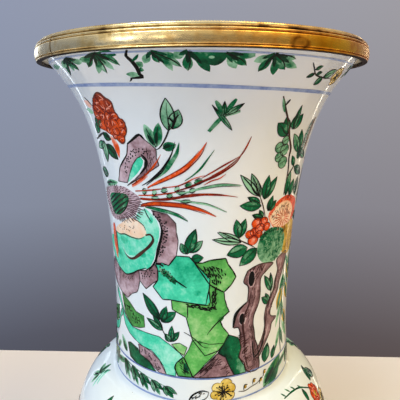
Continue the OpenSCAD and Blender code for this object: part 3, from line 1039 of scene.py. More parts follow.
def bird(c):
    """Pheasant from behind: ring of short feathers round a green back, peach breast, long tail."""
    tail(c)
    c.leaf((-72, 369), (-55, 372), 4.5, 0.4)
    feather_ring(c)
    c.wash(GREEN, [(-71, 358.5), (-67, 363), (-58.5, 364.8), (-49, 365.3), (-46.5, 363.3), (-47.5, 359.5),
                   (-51.5, 354.5), (-57.5, 350.5), (-64.5, 349.3), (-69, 353)], 0.48, 3)
    for start, end in [((-69.5, 358), (-59, 364.3)), ((-69.5, 355.3), (-53, 364.8)),
                       ((-68, 352.8), (-48.3, 364)), ((-66, 350.7), (-47.8, 361.3)),
                       ((-62, 350), (-50.5, 356.8))]:
        c.stroke(GREEN, [start, midpoint(start, end), end], 1.5, -0.25, (0.6, 0.3), lift=3)
    c.stroke(BLACK, [(-46.8, 362), (-49, 357.5), (-53.5, 353), (-58.5, 350.2)], 0.9, 0.1, lift=3)
    c.wash(PEACH, [(-35.5, 344), (-36.5, 346), (-40.5, 348.5), (-45.5, 350), (-51.5, 348), (-58.5, 344),
                   (-63.5, 341.5), (-67, 337.5), (-61.5, 336.5), (-55, 338), (-48.5, 337.5), (-41.5, 337.5),
                   (-37, 339.5), (-35, 341.5)], 0.7, 2)
    c.stroke(BLACK, [(-35.5, 344), (-36.5, 346.5), (-40.5, 349), (-45.5, 350.5)], 0.6, 0.9, lift=2)
    c.stroke(BLACK, [(-67, 337), (-61.5, 336), (-55, 337.5), (-48.5, 337), (-41.5, 337), (-37, 339)], 0.7,
             0.8, lift=2)
    c.dots([(-43, 343), (-50, 342.5), (-55, 341.5), (-60, 340)], count=18, spread=2.0, size=0.4, seed=5,
           slot=BLACK, tone=0.9, layer=5)
    c.stroke(RED, [(-69.5, 342), (-70.5, 331), (-69, 317)], 6, 0.45, lift=2)
    c.stroke(RED, [(-66.5, 337), (-67, 329), (-66, 321)], 1.2, -0.1, lift=3)
    c.stroke(BLACK, [(-35.5, 340.5), (-32, 341.5), (-30.2, 338.5), (-33, 334), (-38, 329.5), (-43, 325.5),
                     (-47.5, 322.5), (-52, 321.8), (-56, 323.5), (-58, 326.5)], 2.1, 0.75, (0.5, 0.1),
             lift=2)


def bird_rock(c):
    """Turquoise and aubergine rocks that the bird stands on."""
    c.wash(TURQUOISE, [(-34, 358), (-30, 355), (-26.8, 351), (-25.5, 346), (-26, 341), (-28.6, 332),
                       (-30.6, 325), (-34.7, 318), (-37.5, 317.5), (-43.5, 315), (-49, 311.5), (-55, 309),
                       (-60, 308.5), (-68, 311), (-77, 317), (-86, 324), (-80, 331), (-71, 333.5),
                       (-66, 337), (-55, 338), (-42, 337.5), (-35, 341.5), (-36.5, 346), (-42.5, 351),
                       (-40, 355)], c.fade((-52, 318), (-28, 348), 0.5, 0.82), curved=False)
    for x, y, across, tall in [(-57, 333, 5, 3), (-39, 327, 4, 2.4), (-31, 351, 1.6, 2.6),
                               (-64, 322, 4, 4)]:
        c.blob(TURQUOISE, (x, y), across, tall, 0.1, 1, edge=0.35)
    c.outlined(AUBERGINE, [(-30, 357.5), (-24.5, 349), (-24, 344), (-28, 330), (-29, 322), (-20.5, 323),
                           (-15.5, 329.5), (-14.5, 335), (-14, 339.5), (-15, 345), (-15, 350.5),
                           (-20, 356)], c.fade((-25, 342), (-16, 336), 0.42, 0.8), width=0.5, ink=0.4)
    c.stroke(BLACK, [(-25.5, 351.5), (-24, 346), (-24.6, 341), (-27.3, 332), (-29.5, 324.5),
                     (-34.5, 317.5)], 1.9, 0.0, (0.2, 0.3), lift=1)
    c.dots([(-29, 356), (-24.5, 352.5), (-21.8, 348), (-22, 342), (-24, 335.5), (-26.5, 328)], count=110,
           spread=1.5, size=0.7, seed=7)
    c.line([(-35, 358), (-33, 353.5), (-30.5, 350)], 0.8, 0.4)
    c.outlined(AUBERGINE, [(-28.5, 319), (-28.5, 311.5), (-32.5, 308.5), (-38, 303.5), (-43, 308),
                           (-43.5, 315), (-37.5, 316.5), (-30, 322)],
               c.fade((-35, 316), (-37, 305), 0.5, 0.85), width=0.6, ink=0.2)
    c.dots([(-40, 312), (-36, 314), (-32, 316)], count=34, spread=1.8, size=0.6, seed=9)
    c.line([(-66, 310.7), (-58, 308.7), (-50, 311.4), (-43.5, 315.3), (-37, 318)], 1.1, 0.1, 1)
    c.outlined(AUBERGINE, [(-43, 308), (-45, 301.5), (-46.5, 299), (-51.5, 296.5), (-57.5, 291.5),
                           (-66, 293), (-78, 297), (-88, 305), (-77, 316), (-68, 311), (-60, 308.5),
                           (-55, 309), (-49, 311.5), (-43.5, 315.3)],
               c.fade((-55, 309), (-56, 296), 0.45, 0.8), width=0.6, ink=0.2)
    c.dots([(-70, 309), (-60, 306), (-50, 308)], count=30, spread=1.6, size=0.5, seed=10)
    c.stroke(TURQUOISE, [(-58.5, 328), (-56, 324), (-52, 322.8), (-46, 324.5)], 1.8, 1.4, lift=1)


def stepped_rock(c):
    """Green and turquoise facets that rise beside the bird's rock."""
    c.outlined(LEAF, [(-4.5, 325.5), (0.5, 325.5), (5, 327.3), (14.5, 328), (16, 324), (19.5, 319),
                      (21.5, 315), (18.5, 310), (14, 305.5), (8, 308.5), (4.5, 311.5)],
               c.fade((9, 320), (16, 310), 0.35, 0.7), width=0.9, ink=0.15)
    c.outlined(LEAF, [(5, 311), (14, 305.5), (14.5, 300.5), (16, 295.5), (17.5, 292), (11.5, 286.5),
                      (13.5, 281.5), (17.5, 276), (14.5, 270), (12, 265.5), (2, 262), (-6, 273),
                      (-8, 280.5), (-10, 288.5), (-19, 293), (-19.5, 299.5), (2.5, 297.5)],
               c.fade((0, 288), (13, 300), 0.58, 0.3), width=0.7, ink=0.2)
    c.outlined(LEAF, [(-6, 273), (-8.5, 266), (-11.5, 260.5), (-8, 252.5), (-5.5, 247), (2, 256),
                      (9.5, 263.5), (14.5, 270), (5, 270)], c.fade((-6, 262), (8, 268), 0.45, 0.75),
               width=0.5, ink=0.4)
    c.outlined(TURQUOISE, [(-15.5, 329.5), (-7.5, 329.4), (-2.5, 323.5), (5, 315), (4.5, 307.5),
                           (5.3, 299.5), (4.5, 296.8), (-8.5, 298.7), (-20, 299.5), (-25.5, 299),
                           (-32.3, 306.5), (-28.5, 311.3), (-28, 318.5), (-29.5, 322.3), (-25, 323.8),
                           (-20.5, 322.6)], c.fade((-20, 302), (-12, 325), 0.54, 0.2), 1, width=0.8,
               ink=0.2)
    for x, y, across, tall in [(-10, 319, 2.6, 2), (-6.5, 316.8, 2, 1.4), (-3, 305.5, 3, 2.4)]:
        c.blob(TURQUOISE, (x, y), across, tall, 0.05, 2, edge=0.3)
    c.wash(GREEN, [(-27, 320), (-22, 319.5), (-17, 315), (-12.5, 311.6), (-9.6, 308.8), (-13, 309.3),
                   (-18, 310.5), (-22, 313.5), (-26, 316)], c.fade((-24, 317), (-14, 311), 0.45, 0.05), 2,
           edge=0.25)
    c.line([(-17, 313.5), (-13, 311), (-9.3, 308.7)], 1.1, 0.1, 3)
    c.line([(-29.5, 322.4), (-26.5, 322.8), (-24, 321.3)], 1.4, 0.05, 2)
    c.dots([(-26, 319), (-22, 316.5), (-18, 314)], count=50, spread=1.9, size=0.6, seed=11, layer=4)
    for seed, row in enumerate(([(1.5, 321), (6, 321), (11, 320)], [(4, 317.5), (8, 316.5), (13, 316)],
                                [(7, 313), (10, 312)])):
        c.scribble(row, count=50, spread=1.4, size=1.3, seed=40 + seed, width=1.0, turn=-60)
    c.scribble([(8, 307), (7.5, 302), (8, 296)], count=60, spread=1.3, size=1.4, seed=14, width=1.2,
               turn=78)
    c.scribble([(-8, 296.2), (-2, 295.5), (3, 294.6), (8, 294.6)], count=70, spread=1.1, size=1.3, seed=30,
               width=1.1, turn=-8)


def rock_foot(c):
    """Smaller facets down to the foot of the neck, and the leaves at the top of the stepped rock."""
    c.line([(-9, 297), (-9, 288)], 0.7)
    c.line([(18, 292), (10, 285), (4.5, 278.5), (3.5, 276.5)], 0.8)
    c.blob(LEAF, (11, 286), 4.5, 1.5, -0.2, 1, 42, edge=0.35)
    c.blob(LEAF, (0, 270.5), 4, 1.3, -0.1, 1, -35, edge=0.35)
    c.line([(-11.5, 278), (-5.5, 274.5), (0.5, 268.5), (4.5, 267.5)], 0.7)
    c.outlined(LEAF, [(-12, 260.5), (-16.5, 256), (-18, 252.5), (-15.5, 247), (-6, 247), (-8, 252.5)], 0.3,
               1, width=0.8)
    c.scribble([(-13, 257), (-12.5, 252), (-10, 249)], count=30, spread=1.4, size=1.2, seed=15, width=0.6,
               lift=3, turn=-60)
    c.blob(GREEN, (-10.2, 252.5), 1.8, 4.2, 0.0, 2, 12, edge=0.35)
    c.outlined(LEAF, [(-20, 268.5), (-14.5, 270), (-9.5, 267.5), (-11.5, 261.5), (-15.5, 264)], 0.8,
               width=0.5)
    c.outlined(AUBERGINE, [(-6, 246.8), (1.5, 254.5), (10.5, 263.3), (15.5, 260), (18, 253.5),
                           (21.5, 246.5)], 0.5, 1, width=0.8)
    c.scribble([(-2, 249), (6, 254), (13, 258), (16, 250)], count=46, spread=2.4, size=1.2, seed=16,
               slot=AUBERGINE, tone=-0.1, turn=40)
    for k in range(16):
        along, inside = HAND.uniform(0.1, 0.75), 0.8 + 0.8 * (k % 4)
        x, y = -5 + 14 * along + inside, 247.4 + 15 * along - 0.6 * inside
        c.stroke(BLACK, [(x, y), (x + 3.4, y + 3.6)], 0.5, 0.3, lift=2)
    c.outlined(GREEN, [(17.5, 275.5), (24, 272.5), (25.5, 269.5), (26.5, 264), (24.5, 258.5), (28.5, 252),
                       (30, 246.5), (21.5, 246.5), (18, 253.5), (15.5, 260), (10.5, 263.5), (14.5, 270)],
               c.fade((16, 262), (26, 262), 0.2, 0.5), width=0.6, ink=0.1)
    c.leaves([(-9.5, 331, -12.5, 338, 4.5, 0.5), (-9, 331, -3.5, 347.5, 6.5, 0.35),
              (-7, 332, 0.5, 340, 5, 0.4), (-6.5, 328, 1, 329, 5.5, 0.25)])


def left_bank(c):
    """Turquoise sweep, facets and sprigs at the lower left."""
    c.leaves([(-28, 284, -41, 300, 7.2, 0.2), (-27, 283, -23, 294.5, 5.2, 0.2),
              (-27, 283, -16.5, 291.5, 6.4, 0.25), (-26, 277, -38.5, 283, 4.5, 0.3),
              (-26, 277, -33.5, 287, 4, 0.2), (-20.5, 270, -19.5, 281.5, 4, 0.25),
              (-20.5, 270, -14.5, 278, 4, 0.2), (-20.5, 270, -24.5, 275, 4.5, 0.35)])
    c.line([(-29, 285), (-26, 277), (-22, 270)], 0.8)
    c.outlined(LEAF, [(-66, 293), (-55, 289), (-48.5, 284.5), (-41, 283.5), (-40.5, 275.5), (-45.5, 273.5),
                      (-53, 272), (-62, 278)], c.fade((-56, 284), (-42, 277), -0.05, 0.35), width=0.5,
               ink=0.6)
    c.scribble([(-60, 285), (-54, 281), (-46, 278)], count=34, spread=2.6, size=1.0, seed=17)
    c.outlined(TURQUOISE, [(-76, 294), (-71, 291), (-62, 276.5), (-53, 271.5), (-41.5, 272), (-29, 272),
                           (-20.5, 267.5), (-14.5, 263), (-12, 260.5), (-17, 255.5), (-17, 246.5),
                           (-23.5, 246.5), (-25.5, 251.5), (-29.5, 256.5), (-35, 260.5), (-42.5, 261),
                           (-48.5, 262.5), (-56.5, 265), (-63, 269.5), (-68, 281.5), (-75, 288)],
               c.fade((-52, 268), (-20, 252), 0.45, 0.75), width=0.5, ink=0.5)
    c.outlined(AUBERGINE, [(-47, 261), (-41.5, 261), (-35, 259.5), (-28.5, 255), (-23.5, 246.5),
                           (-28.5, 246.5), (-32.5, 249), (-37, 252.5), (-45, 254.5)], 0.7, width=0.5,
               ink=0.4)
    c.scribble([(-44, 258), (-36, 256), (-29, 249)], count=26, spread=1.4, size=0.8, seed=18)
    c.outlined(GREEN, [(-59, 257.5), (-55.5, 259), (-47, 257.5), (-45, 254.5), (-37.5, 252.5), (-31, 246.5),
                       (-48.5, 246.5), (-55.5, 248.5)], 0.3, width=0.6, ink=0.1)
    c.leaf((-60, 250), (-69, 259), 6, 0.35)


SPOKES = 34


def chrysanthemum(c):
    """Large peach flower with a red edge."""
    rim = [(42.5, 351.5), (44.5, 355.5), (49, 360), (54.5, 362.5), (61.5, 363), (69, 361), (78, 356.5),
           (80, 348), (70, 342.5), (55, 341.5), (48, 344)]
    c.wash(RED, rim, c.fade((46, 350), (66, 361), 0.62, 0.4))
    c.wash(PEACH, [(43.8, 350.5), (46, 354.3), (50.5, 358.2), (56, 360), (62, 359.2), (68, 356.2),
                   (73, 350.5), (68, 343.2), (55.5, 342), (48.3, 344.4)],
           c.fade((56, 345), (60, 357), 0.8, 0.5), 1, edge=-0.3)
    band = [(44.5, 352.5), (46.5, 354.8), (50.5, 359), (55.5, 361), (61.5, 361), (68, 358.8)]
    c.scribble(band, count=40, spread=0.5, size=0.9, seed=28, width=0.7, slot=RED, tone=0.25, lift=2)
    c.scribble(band[2:], count=24, spread=0.5, size=0.8, seed=29, width=0.7, slot=RED, tone=0.62, lift=2)
    middle = Vector((58, 348))
    for k in range(SPOKES):
        ahead, left = heading(360 * k / SPOKES)
        spoke = Vector((ahead.x * 1.5, ahead.y))
        near = middle + spoke * (1.2 + k % 3)
        far = middle + spoke * (5.0 + 1.1 * (k % 4))
        bow = near.lerp(far, 0.5) + left * (k % 2 - 0.5)
        c.stroke(RED, [near, bow, far], 0.45, 0.3, (0.9, 0.3), lift=1)
    c.scribble([(48, 350), (54, 355), (61, 355), (66, 350)], count=60, spread=2.4, size=0.9, seed=19,
               width=0.4, tone=0.95)


# Centre x and y and radius
BERRIES = [(33.8, 348.5, 3.6), (39.2, 348.8, 3.4), (42, 345.3, 3.0), (36.6, 344.8, 3.6), (32.6, 343.2, 3.0),
           (29.3, 342, 3.0), (36, 341, 2.8), (32, 337.8, 3.6)]


def berries(c):
    """Bunch of round red berries, each with a dark ring and a light."""
    for x, y, reach in BERRIES:
        c.blob(RED, (x, y), reach, 0.92 * reach, 0.58, 2, 0, 10, -0.15)
        begin = HAND.uniform(0, 360)
        ring = oval((x, y), reach, 0.9 * reach, 0, begin, begin + 340, 9)
        inner = oval((x, y), 0.55 * reach, 0.5 * reach, 0, begin, begin + 150, 5)
        c.stroke(RED, ring, 0.7, -0.25, (0.3, 0.3), lift=2)
        c.stroke(RED, inner, 0.5, 0.25, lift=3)
        c.blob(RED, (x + 0.25 * reach, y + 0.2 * reach), 0.34 * reach, 0.26 * reach, 0.85, 4)


def round_flower(c):
    """Grey-green flower, its petals brushed in darker strokes."""
    c.wash(GREEN, [(37, 337), (40.5, 341.5), (48, 343.5), (57.5, 341.5), (62.5, 337), (63.5, 329.5),
                   (58.5, 322.5), (49.5, 319.5), (40.5, 321.5), (36, 328.5)],
           c.fade((46, 342), (52, 324), 0.5, 0.78), 1, edge=0.1)
    ring = [(41, 325), (46, 336), (53, 338), (58, 330), (50, 324)]
    for k, (count, width, tone) in enumerate([(60, 1.5, 0.5), (40, 1.4, 0.72), (24, 1.0, 0.38)]):
        c.scribble(ring, count=count, spread=4.0, size=1.7, seed=21 + k, width=width, slot=GREEN, tone=tone,
                   lift=1 + k)
    c.scribble([(38, 338), (44, 341.5), (52, 342), (59, 339)], count=30, spread=1.0, size=1.3, seed=32,
               width=1.0, slot=GREEN, tone=0.15, lift=3)


def flower_bed(c):
    """Flowers at the top of the trunk with their leaves."""
    c.leaves([(80, 318, 77, 334, 6, 0.15), (84, 300, 79, 324, 7, 0.1)], lined=False)
    c.wash(YELLOW, [(58, 341), (66, 345), (77, 343), (86, 334), (80, 322), (66, 320), (58, 330)], 0.42)
    c.scribble([(63, 338), (70, 338), (74, 331), (66, 327)], count=24, spread=3.2, size=2.0, seed=23,
               width=0.8, slot=YELLOW, tone=0.2, lift=0)
    round_flower(c)
    chrysanthemum(c)
    berries(c)
    c.leaves([(37.5, 363.5, 39, 378.5, 6, 0.25), (38, 363.5, 45.5, 377, 5.5, 0.25),
              (36, 359.5, 21.5, 361, 6.5, 0.3), (35, 361.5, 26, 366, 4, 0.25),
              (41.5, 355.5, 44.5, 365, 4.5, 0.3), (42, 355.5, 48, 361.5, 4.5, 0.25),
              (38, 351, 30, 354.5, 3.8, 0.2), (38, 351.5, 35, 357, 3.2, 0.25),
              (22.5, 340.5, 20, 352.5, 5.5, 0.4), (22.5, 340.5, 26, 352.5, 5.5, 0.35),
              (28.5, 333.5, 15, 330, 8.5, 0.32), (35.5, 332, 23.5, 322, 8.5, 0.3)])
    c.leaves([(33, 366, 20.5, 380, 4.6, 1.1), (33.5, 366, 27, 380.5, 5, 1.0),
              (24, 337.5, 6, 340.5, 4.4, 1.1), (24, 338, 9, 345, 4.2, 1.0)])
    c.leaf((34.5, 365), (31.5, 375.5), 3.6, 0.7)
    for path in [[(33, 366), (27, 373.5), (21.5, 379.5)], [(33.5, 366), (31, 373), (27.5, 379)],
                 [(24, 337.5), (14, 339), (7, 340.5)], [(24, 338), (16, 342.5), (10, 345.5)]]:
        c.line(path, 0.7, 0.1, 2)
    c.line([(33.5, 367), (37, 360), (39.5, 353), (40.5, 350)], 0.8, 0.7)
    c.line([(22, 339.5), (30, 335), (34, 332.5)], 0.8, 0.7)


# Tone, width and path of each stroke on the bark
BARK = [
    (-0.1, 1.6, [(32, 248), (29.5, 258), (29, 270), (27.5, 279), (28, 286), (31.5, 294), (33, 304)]),
    (0.65, 1.4, [(36, 249), (34.5, 262), (33, 274), (32.5, 284), (36, 294), (37.5, 304), (38.5, 312)]),
    (0.15, 0.7, [(38.5, 250), (37.5, 262), (35, 273)]),
    (0.15, 0.7, [(36.5, 288), (39, 297), (39.5, 308)]),
    (0.8, 1.2, [(43, 261), (48, 268), (49.5, 276)]),
    (0.8, 1.2, [(50, 288), (56, 297), (59, 306), (62, 318)]),
    (-0.1, 1.0, [(38, 257), (42, 262), (46, 270), (47, 280), (48.5, 289), (54, 298), (57, 309)]),
]
# Path, count, spread and turn of the short marks on the bark
GRAIN = [
    ([(33, 248), (30, 262), (28, 272)], 40, 2.6, 20),
    ([(37, 250), (35, 264), (33, 280)], 40, 1.6, 95),
    ([(30, 284), (34, 298), (38, 314), (44, 316)], 40, 2.4, 70),
    ([(50, 282), (56, 298), (61, 312)], 26, 1.4, 60),
]


def trunk(c):
    """Old forked trunk with knots."""
    c.outlined(AUBERGINE, [(29.5, 317.5), (27, 310.5), (30.5, 306.5), (30.5, 298.5), (29.5, 295.5),
                           (22.5, 290.5), (20.5, 280.5), (24, 279.5), (25.5, 275.5), (25.5, 270),
                           (26.5, 264.5), (25, 258.5), (28.5, 253.5), (31.5, 246.5), (40.5, 246.5),
                           (40, 260.5), (37.5, 268), (36.5, 274.5), (35.5, 279.5), (36, 285.5), (39.5, 293),
                           (40.5, 299.5), (40.5, 310.5), (46, 315), (51.5, 318.5), (40.5, 320.5),
                           (34, 319.5)], 0.42, curved=True, width=0.8, ink=0.6)
    c.outlined(AUBERGINE, [(36.5, 258), (39.5, 261), (43.5, 266.5), (46, 274), (45.5, 282), (47.5, 290),
                           (53.5, 298.5), (55, 305), (57.5, 312), (56, 320), (69, 322), (66.5, 312),
                           (61.5, 303), (59.5, 296.5), (52.5, 287), (52, 280.5), (59, 277), (54, 274),
                           (52.5, 269), (47, 261.5), (40, 253.5)], 0.45, curved=True, width=0.8, ink=0.6)
    for tone, width, path in BARK:
        c.stroke(AUBERGINE, path, width, tone)
    for k, (path, count, spread, turn) in enumerate(GRAIN):
        c.scribble(path, count=count, spread=spread, size=1.5, seed=24 + k, width=0.45, slot=AUBERGINE,
                   tone=-0.05, lift=1, turn=turn)
    for x, y, across, tall in [(32.8, 311.7, 2.3, 5.3), (26.8, 285, 2.1, 4.0)]:
        c.blob(AUBERGINE, (x + 0.4, y), across + 1.0, tall + 0.9, 0.9, 1, 0, 10)
        c.blob(BLACK, (x, y), across, tall, 0.1, 3, 0, 10)
    c.line([(20.5, 280), (22.5, 289.5), (29.5, 296)], 2.1, 0.0, 1)
    c.line([(35.6, 267), (35.8, 260), (36.4, 254.8)], 1.3, 0.2, 1)
    c.line([(36.4, 254.8), (40.5, 257), (44, 262), (46.8, 271)], 1.7, 0.1, 1)
    c.scribble([(28.6, 268), (29.4, 262), (30, 257)], count=34, spread=1.5, size=1.5, seed=45, width=0.8,
               slot=AUBERGINE, tone=-0.25, lift=2, turn=40)
    c.scribble([(33, 318), (38, 317.5), (42, 317.5)], count=16, spread=1.2, size=1.8, seed=46, width=0.7,
               slot=AUBERGINE, tone=-0.2, lift=2, turn=60)
    c.leaves([(51.5, 298.5, 43.5, 311.5, 5, 0.35), (51.5, 298.5, 49.5, 312, 4.5, 0.3),
              (49.5, 290.5, 42, 296.5, 5, 0.3), (49.5, 290.5, 45.5, 298.5, 4, 0.3),
              (46, 248, 49.5, 261, 8, 0.3), (54, 247.5, 57.5, 256, 5, 0.35)])
    c.line([(49, 287), (50, 292), (51.5, 299)], 0.7)


SIDE_STEM = 67.5


def side_stem(c):
    """Leafy stem to the right of the trunk."""
    c.stroke(GREEN, [(67, 247), (66, 266), (68, 288), (67.5, 305), (70, 319)], 1.3, 0.3, (0.8, 0.4))
    c.leaves([(68, 306, 62, 290, 4.5, 0.35), (68, 305, 75, 290, 5, 0.2), (67, 287, 59, 268, 4.5, 0.5),
              (67.5, 287, 73, 266, 5, 0.25), (66, 266, 58.5, 251, 4.5, 0.4), (66, 266, 72, 250, 5, 0.3),
              (69.5, 318, 79, 308, 5, 0.35)], lined=False)
    for x, y in [(79, 262), (82, 282), (86, 296), (60.5, 281)]:
        root = (SIDE_STEM + 0.3 * (x - SIDE_STEM), y + 15)
        c.leaf(root, (x, y), 8.5, 0.2, YELLOW, False)
        c.stroke(GREEN, [root, midpoint(root, (x, y)), (x, y)], 3.2, 0.45)
    c.leaves([(73, 308, 83, 290, 4.5, 0.15), (70, 270, 82, 252, 6, 0.55)], lined=False)


def hanging_branch(c):
    """Leafy branch that comes down on the right."""
    c.line([(35.5, 424), (40, 416.5), (44.5, 409.5), (48.5, 401), (52.5, 394), (53, 388), (55, 379),
            (54.8, 364)], 1.5, 0.7)
    c.line([(38.5, 419), (39.5, 421), (40.3, 422.5)], 1.3, 0.5)
    c.stroke(GREEN, [(36, 423), (38, 419), (39.5, 415.5)], 2.0, 0.75)
    c.leaves([(46.5, 402, 37.5, 409.5, 7.5, 0.2), (46, 402.5, 42, 413, 5.5, 0.15),
              (50, 405.5, 50, 419.5, 3.4, 0.3), (49, 405.5, 49.5, 414.5, 5, 0.35),
              (50.5, 405.5, 54, 414.5, 5.5, 0.5), (63, 390.5, 52, 402.7, 6, 0.4),
              (63.5, 390.5, 58.7, 405, 6.5, 0.25), (61, 382, 56, 389, 4, 0.2),
              (61.5, 381.5, 76, 375, 6, 0.1), (63.5, 391.5, 77, 386, 5, 0.25), (57, 363, 58.5, 379, 6, 0.4),
              (62, 362, 65, 373, 7, 0.35), (72, 361, 71.5, 373.5, 8, 0.05)])
    c.line([(61, 382), (58, 378.7), (55.5, 376)], 1.2, 0.2)
    c.stroke(GREEN, [(69.5, 411), (68.2, 402), (68, 391)], 5.0, 0.15)
    c.stroke(YELLOW, [(73, 412), (72, 403), (72, 391)], 4.0, -0.2)
    c.blob(GREEN, (64.5, 390), 3.4, 4.0, 0.1, 1, edge=0.2)
    for x, y, reach in [(43, 395, 3.3), (47.2, 393.3, 3.5), (46.5, 399, 2.8), (44, 389, 3.0),
                        (48, 385.5, 3.7)]:
        c.blob(GREEN, (x, y), reach, reach, 0.78, 0, 0, 10)
        c.stroke(BLACK, oval((x, y), reach, reach, 0, 0, 370, 8), 0.45, 0.5, (0.8, 0.8))
        c.line([(x - 0.7 * reach, y - 0.3 * reach), (x + 0.6 * reach, y + 0.4 * reach)], 0.4, 0.5)


BORDER_FOOT = 230.2


def foot_border(c):
    """Band between the two lines at the neck's foot: bamboo, a blossom, a tendril and a broad leaf."""
    c.stroke(GREEN, [(-62, 244), (-45, 241.5), (-30, 239), (-20, 236.5)], 0.6, 0.6)
    for x, y in [(-62, 244), (-53, 243), (-44, 241.3), (-34.5, 239.7), (-25, 238)]:
        hang = y - BORDER_FOOT
        c.leaves([(x, y, x + 2, y - 0.9 * hang, 3.6, 0.6), (x, y, x + 6.5, y - hang, 4.4, 0.35),
                  (x + 1, y, x + 9, y - 0.55 * hang, 3.4, 0.55)], lined=None)
    c.line([(-8.5, 229.5), (-6.5, 233.5), (-3.5, 236), (0.5, 237.5), (4.5, 236.5)], 1.3, 0.1)
    c.line([(-8.5, 229.5), (-2, 230), (3, 232.5), (4.5, 236.5)], 0.7)
    c.scribble([(-6, 231.5), (-2, 234), (2, 236)], count=10, spread=1.0, size=1.2, seed=26, width=0.7,
               turn=40)
    blossom(c, (14, 236), 8.8)
    c.line([(24.5, 234), (29, 233), (34, 234.5), (39, 235.5), (45, 239)], 0.6)
    for x, y in [(29.5, 236), (36.5, 238), (42.5, 236.5), (46, 241)]:
        c.blob(YELLOW, (x, y), 1.2, 1.4, 0.3, 1)
        c.line([(x + 1.6, y + 1), (x - 0.4, y + 1.6), (x - 1.2, y - 0.6), (x - 1, y - 2.6)], 0.8, 0.4)
    c.leaf((45, 229.8), (65.5, 245), 15, 0.2, bend=-0.04)
    c.stroke(LEAF, [(56, 239.5), (60.5, 243), (64.5, 245.6)], 3.0, -0.25, lift=2)
    c.leaf((60, 237), (80, 243), 5, 0.3)


def bird_and_rocks(c):
    """Left half of the neck's scene."""
    peony(c)
    leaf_spray(c)
    holed_rock(c)
    bird_rock(c)
    bird(c)
    stepped_rock(c)
    rock_foot(c)
    left_bank(c)


def flowering_tree(c):
    """Right half of the neck's scene."""
    trunk(c)
    side_stem(c)
    flower_bed(c)
    hanging_branch(c)


def gap_flowers(c):
    """Peony on a leafy stem that fills the space between the tree and the next bird."""
    c.line([(99, 364), (96.5, 335), (100, 308), (97, 276)], 1.1, 0.4)
    c.leaves([(97, 338, 86, 346, 6.5, 0.3), (97, 337, 108, 346, 6.5, 0.6), (98.5, 318, 88, 323, 6, 0.65),
              (99.5, 317, 110, 324, 6.5, 0.25), (99.5, 298, 90, 303, 5.5, 0.3),
              (99, 297, 108, 304, 5.5, 0.5)])
    peony(c.moved((-49.5, 411), (99, 374), 0.85))
    left_bank(c.moved((-20, 270), (98, 262), 0.8, True))
    star_sprig(c.moved((9, 414), (101, 412), 1.1, True))


def paint_neck():
    """The same scene on the front and the back, and borders at the rim and the foot."""
    c = Design(on_neck)
    band_line(c, NECK_REF, 444.3, 0.8, 0.8, 0.9)
    band_line(c, NECK_REF, 428.8, 1.7, 2.4, 0.72)
    band_line(c, NECK_REF, 245.9, 1.2, tone=0.3)
    band_line(c, NECK_REF, 228.8, 1.3)
    for k in range(2):
        side = c.moved((0, 0), (NECK_ROUND * k / 2, 0))
        bird_and_rocks(side)
        star_sprig(side)
        flowering_tree(side)
        side.leaf((-78, 442), (-66, 441.5), 3, 0.2, lined=False)
        border_sprig(side)
        gap_flowers(side)
    for k in range(3):
        part = c.moved((0, 0), (NECK_ROUND * (k / 3 - (k > 1)), 0))
        bamboo_border(part)
        foot_border(part)
    return c.shells


def shoulder_flowers(c):
    """Beside the neck's foot: a forked leaf on the left, a flowering stem on the right."""
    c.leaves([(-129, -17, -141, -12, 5, 0.35), (-129, -17, -139, -23, 5, 0.25),
              (-129, -17, -135, -7, 4.5, 0.4), (-129, -17, -124, -8, 4, 0.3),
              (-129, -17, -128, -26, 4.5, 0.35)], lined=None)
    for path in [[(-128, -10), (-125, -17), (-121, -25)], [(-125, -9), (-122, -16), (-118, -21)]]:
        c.stroke(TURQUOISE, path, 1.8, 0.75)
    c.stroke(GREEN, [(82, -14), (95, -14.5), (106, -17), (113, -21), (120, -26)], 1.3, 0.1, (0.5, 0.6))
    for x, y in [(85.5, -13), (93.5, -12.5), (101, -14.5), (109, -18)]:
        c.leaf((x, y - 1), (x - 2.5, y + 3), 1.8, 0.1)
    c.leaves([(108, -19, 105, -29, 4.5, 0.25), (133, -20, 146, -26, 9, 0.15), (128, -24, 140, -15, 6, 0.2)])
    x, y = flower = (121, -31)
    for k in range(7):
        ahead, _ = heading(360 * k / 7)
        petal(c, (x + 4.8 * ahead.x, y + 4.2 * ahead.y), 4, 3.4, 360 * k / 7, 0.36 + 0.05 * (k % 3))
    c.blob(YELLOW, flower, 2.4, 2.2, 0.4, 4)
    c.dots([(119.5, -32), (122.5, -30)], count=12, spread=1.2, size=0.4, seed=27, slot=BLACK, tone=0.4,
           layer=6)
    blossom(c, (133, -43), 8)


def paint_body():
    """Sprigs on the shoulder, smaller scenes round the belly and a bamboo border on the foot."""
    c = Design(on_body)
    for k in range(2):
        half = c.moved((0, 0), (BODY_ROUND * (k / 2), 0))
        shoulder_flowers(half)
        leaf_spray(half.moved((-18, 404), (-92, -34), 1.0))
        border_sprig(half.moved((55, 436), (-45, -30), 1.2, True))
        star_sprig(half.moved((10, 414), (0, -30), 1.2))
        leaf_spray(half.moved((-18, 404), (48, -34), 1.0, True))
        star_sprig(half.moved((9, 414), (54, -64), 1.0))
        star_sprig(half.moved((9, 414), (102, -64), 1.0, True))
        for flip in (False, True):
            bird_and_rocks(half.moved((-29, 246), (156 * flip, -178), 0.72, flip))
            flowering_tree(half.moved((50, 246), (78 + 158 * flip, -178), 0.72, flip))
    foot = Design(on_foot, c.shells)
    for height in (57, 13):
        band_line(foot, FOOT_REF, height, 1.2)
    for k in range(4):
        bamboo_border(foot.moved((-15, 445), (FOOT_ROUND * k / 4, 55), 0.94))
    return c.shells


def add_painting(region, shells):
    """One piece for each colour."""
    for slot, shell in shells.items():
        name = f"{region}_{slot}"
        add_piece(name, shell.vertices, shell.faces, ENAMELS[slot], slot, shell.tones, ENAMEL_SHARP)


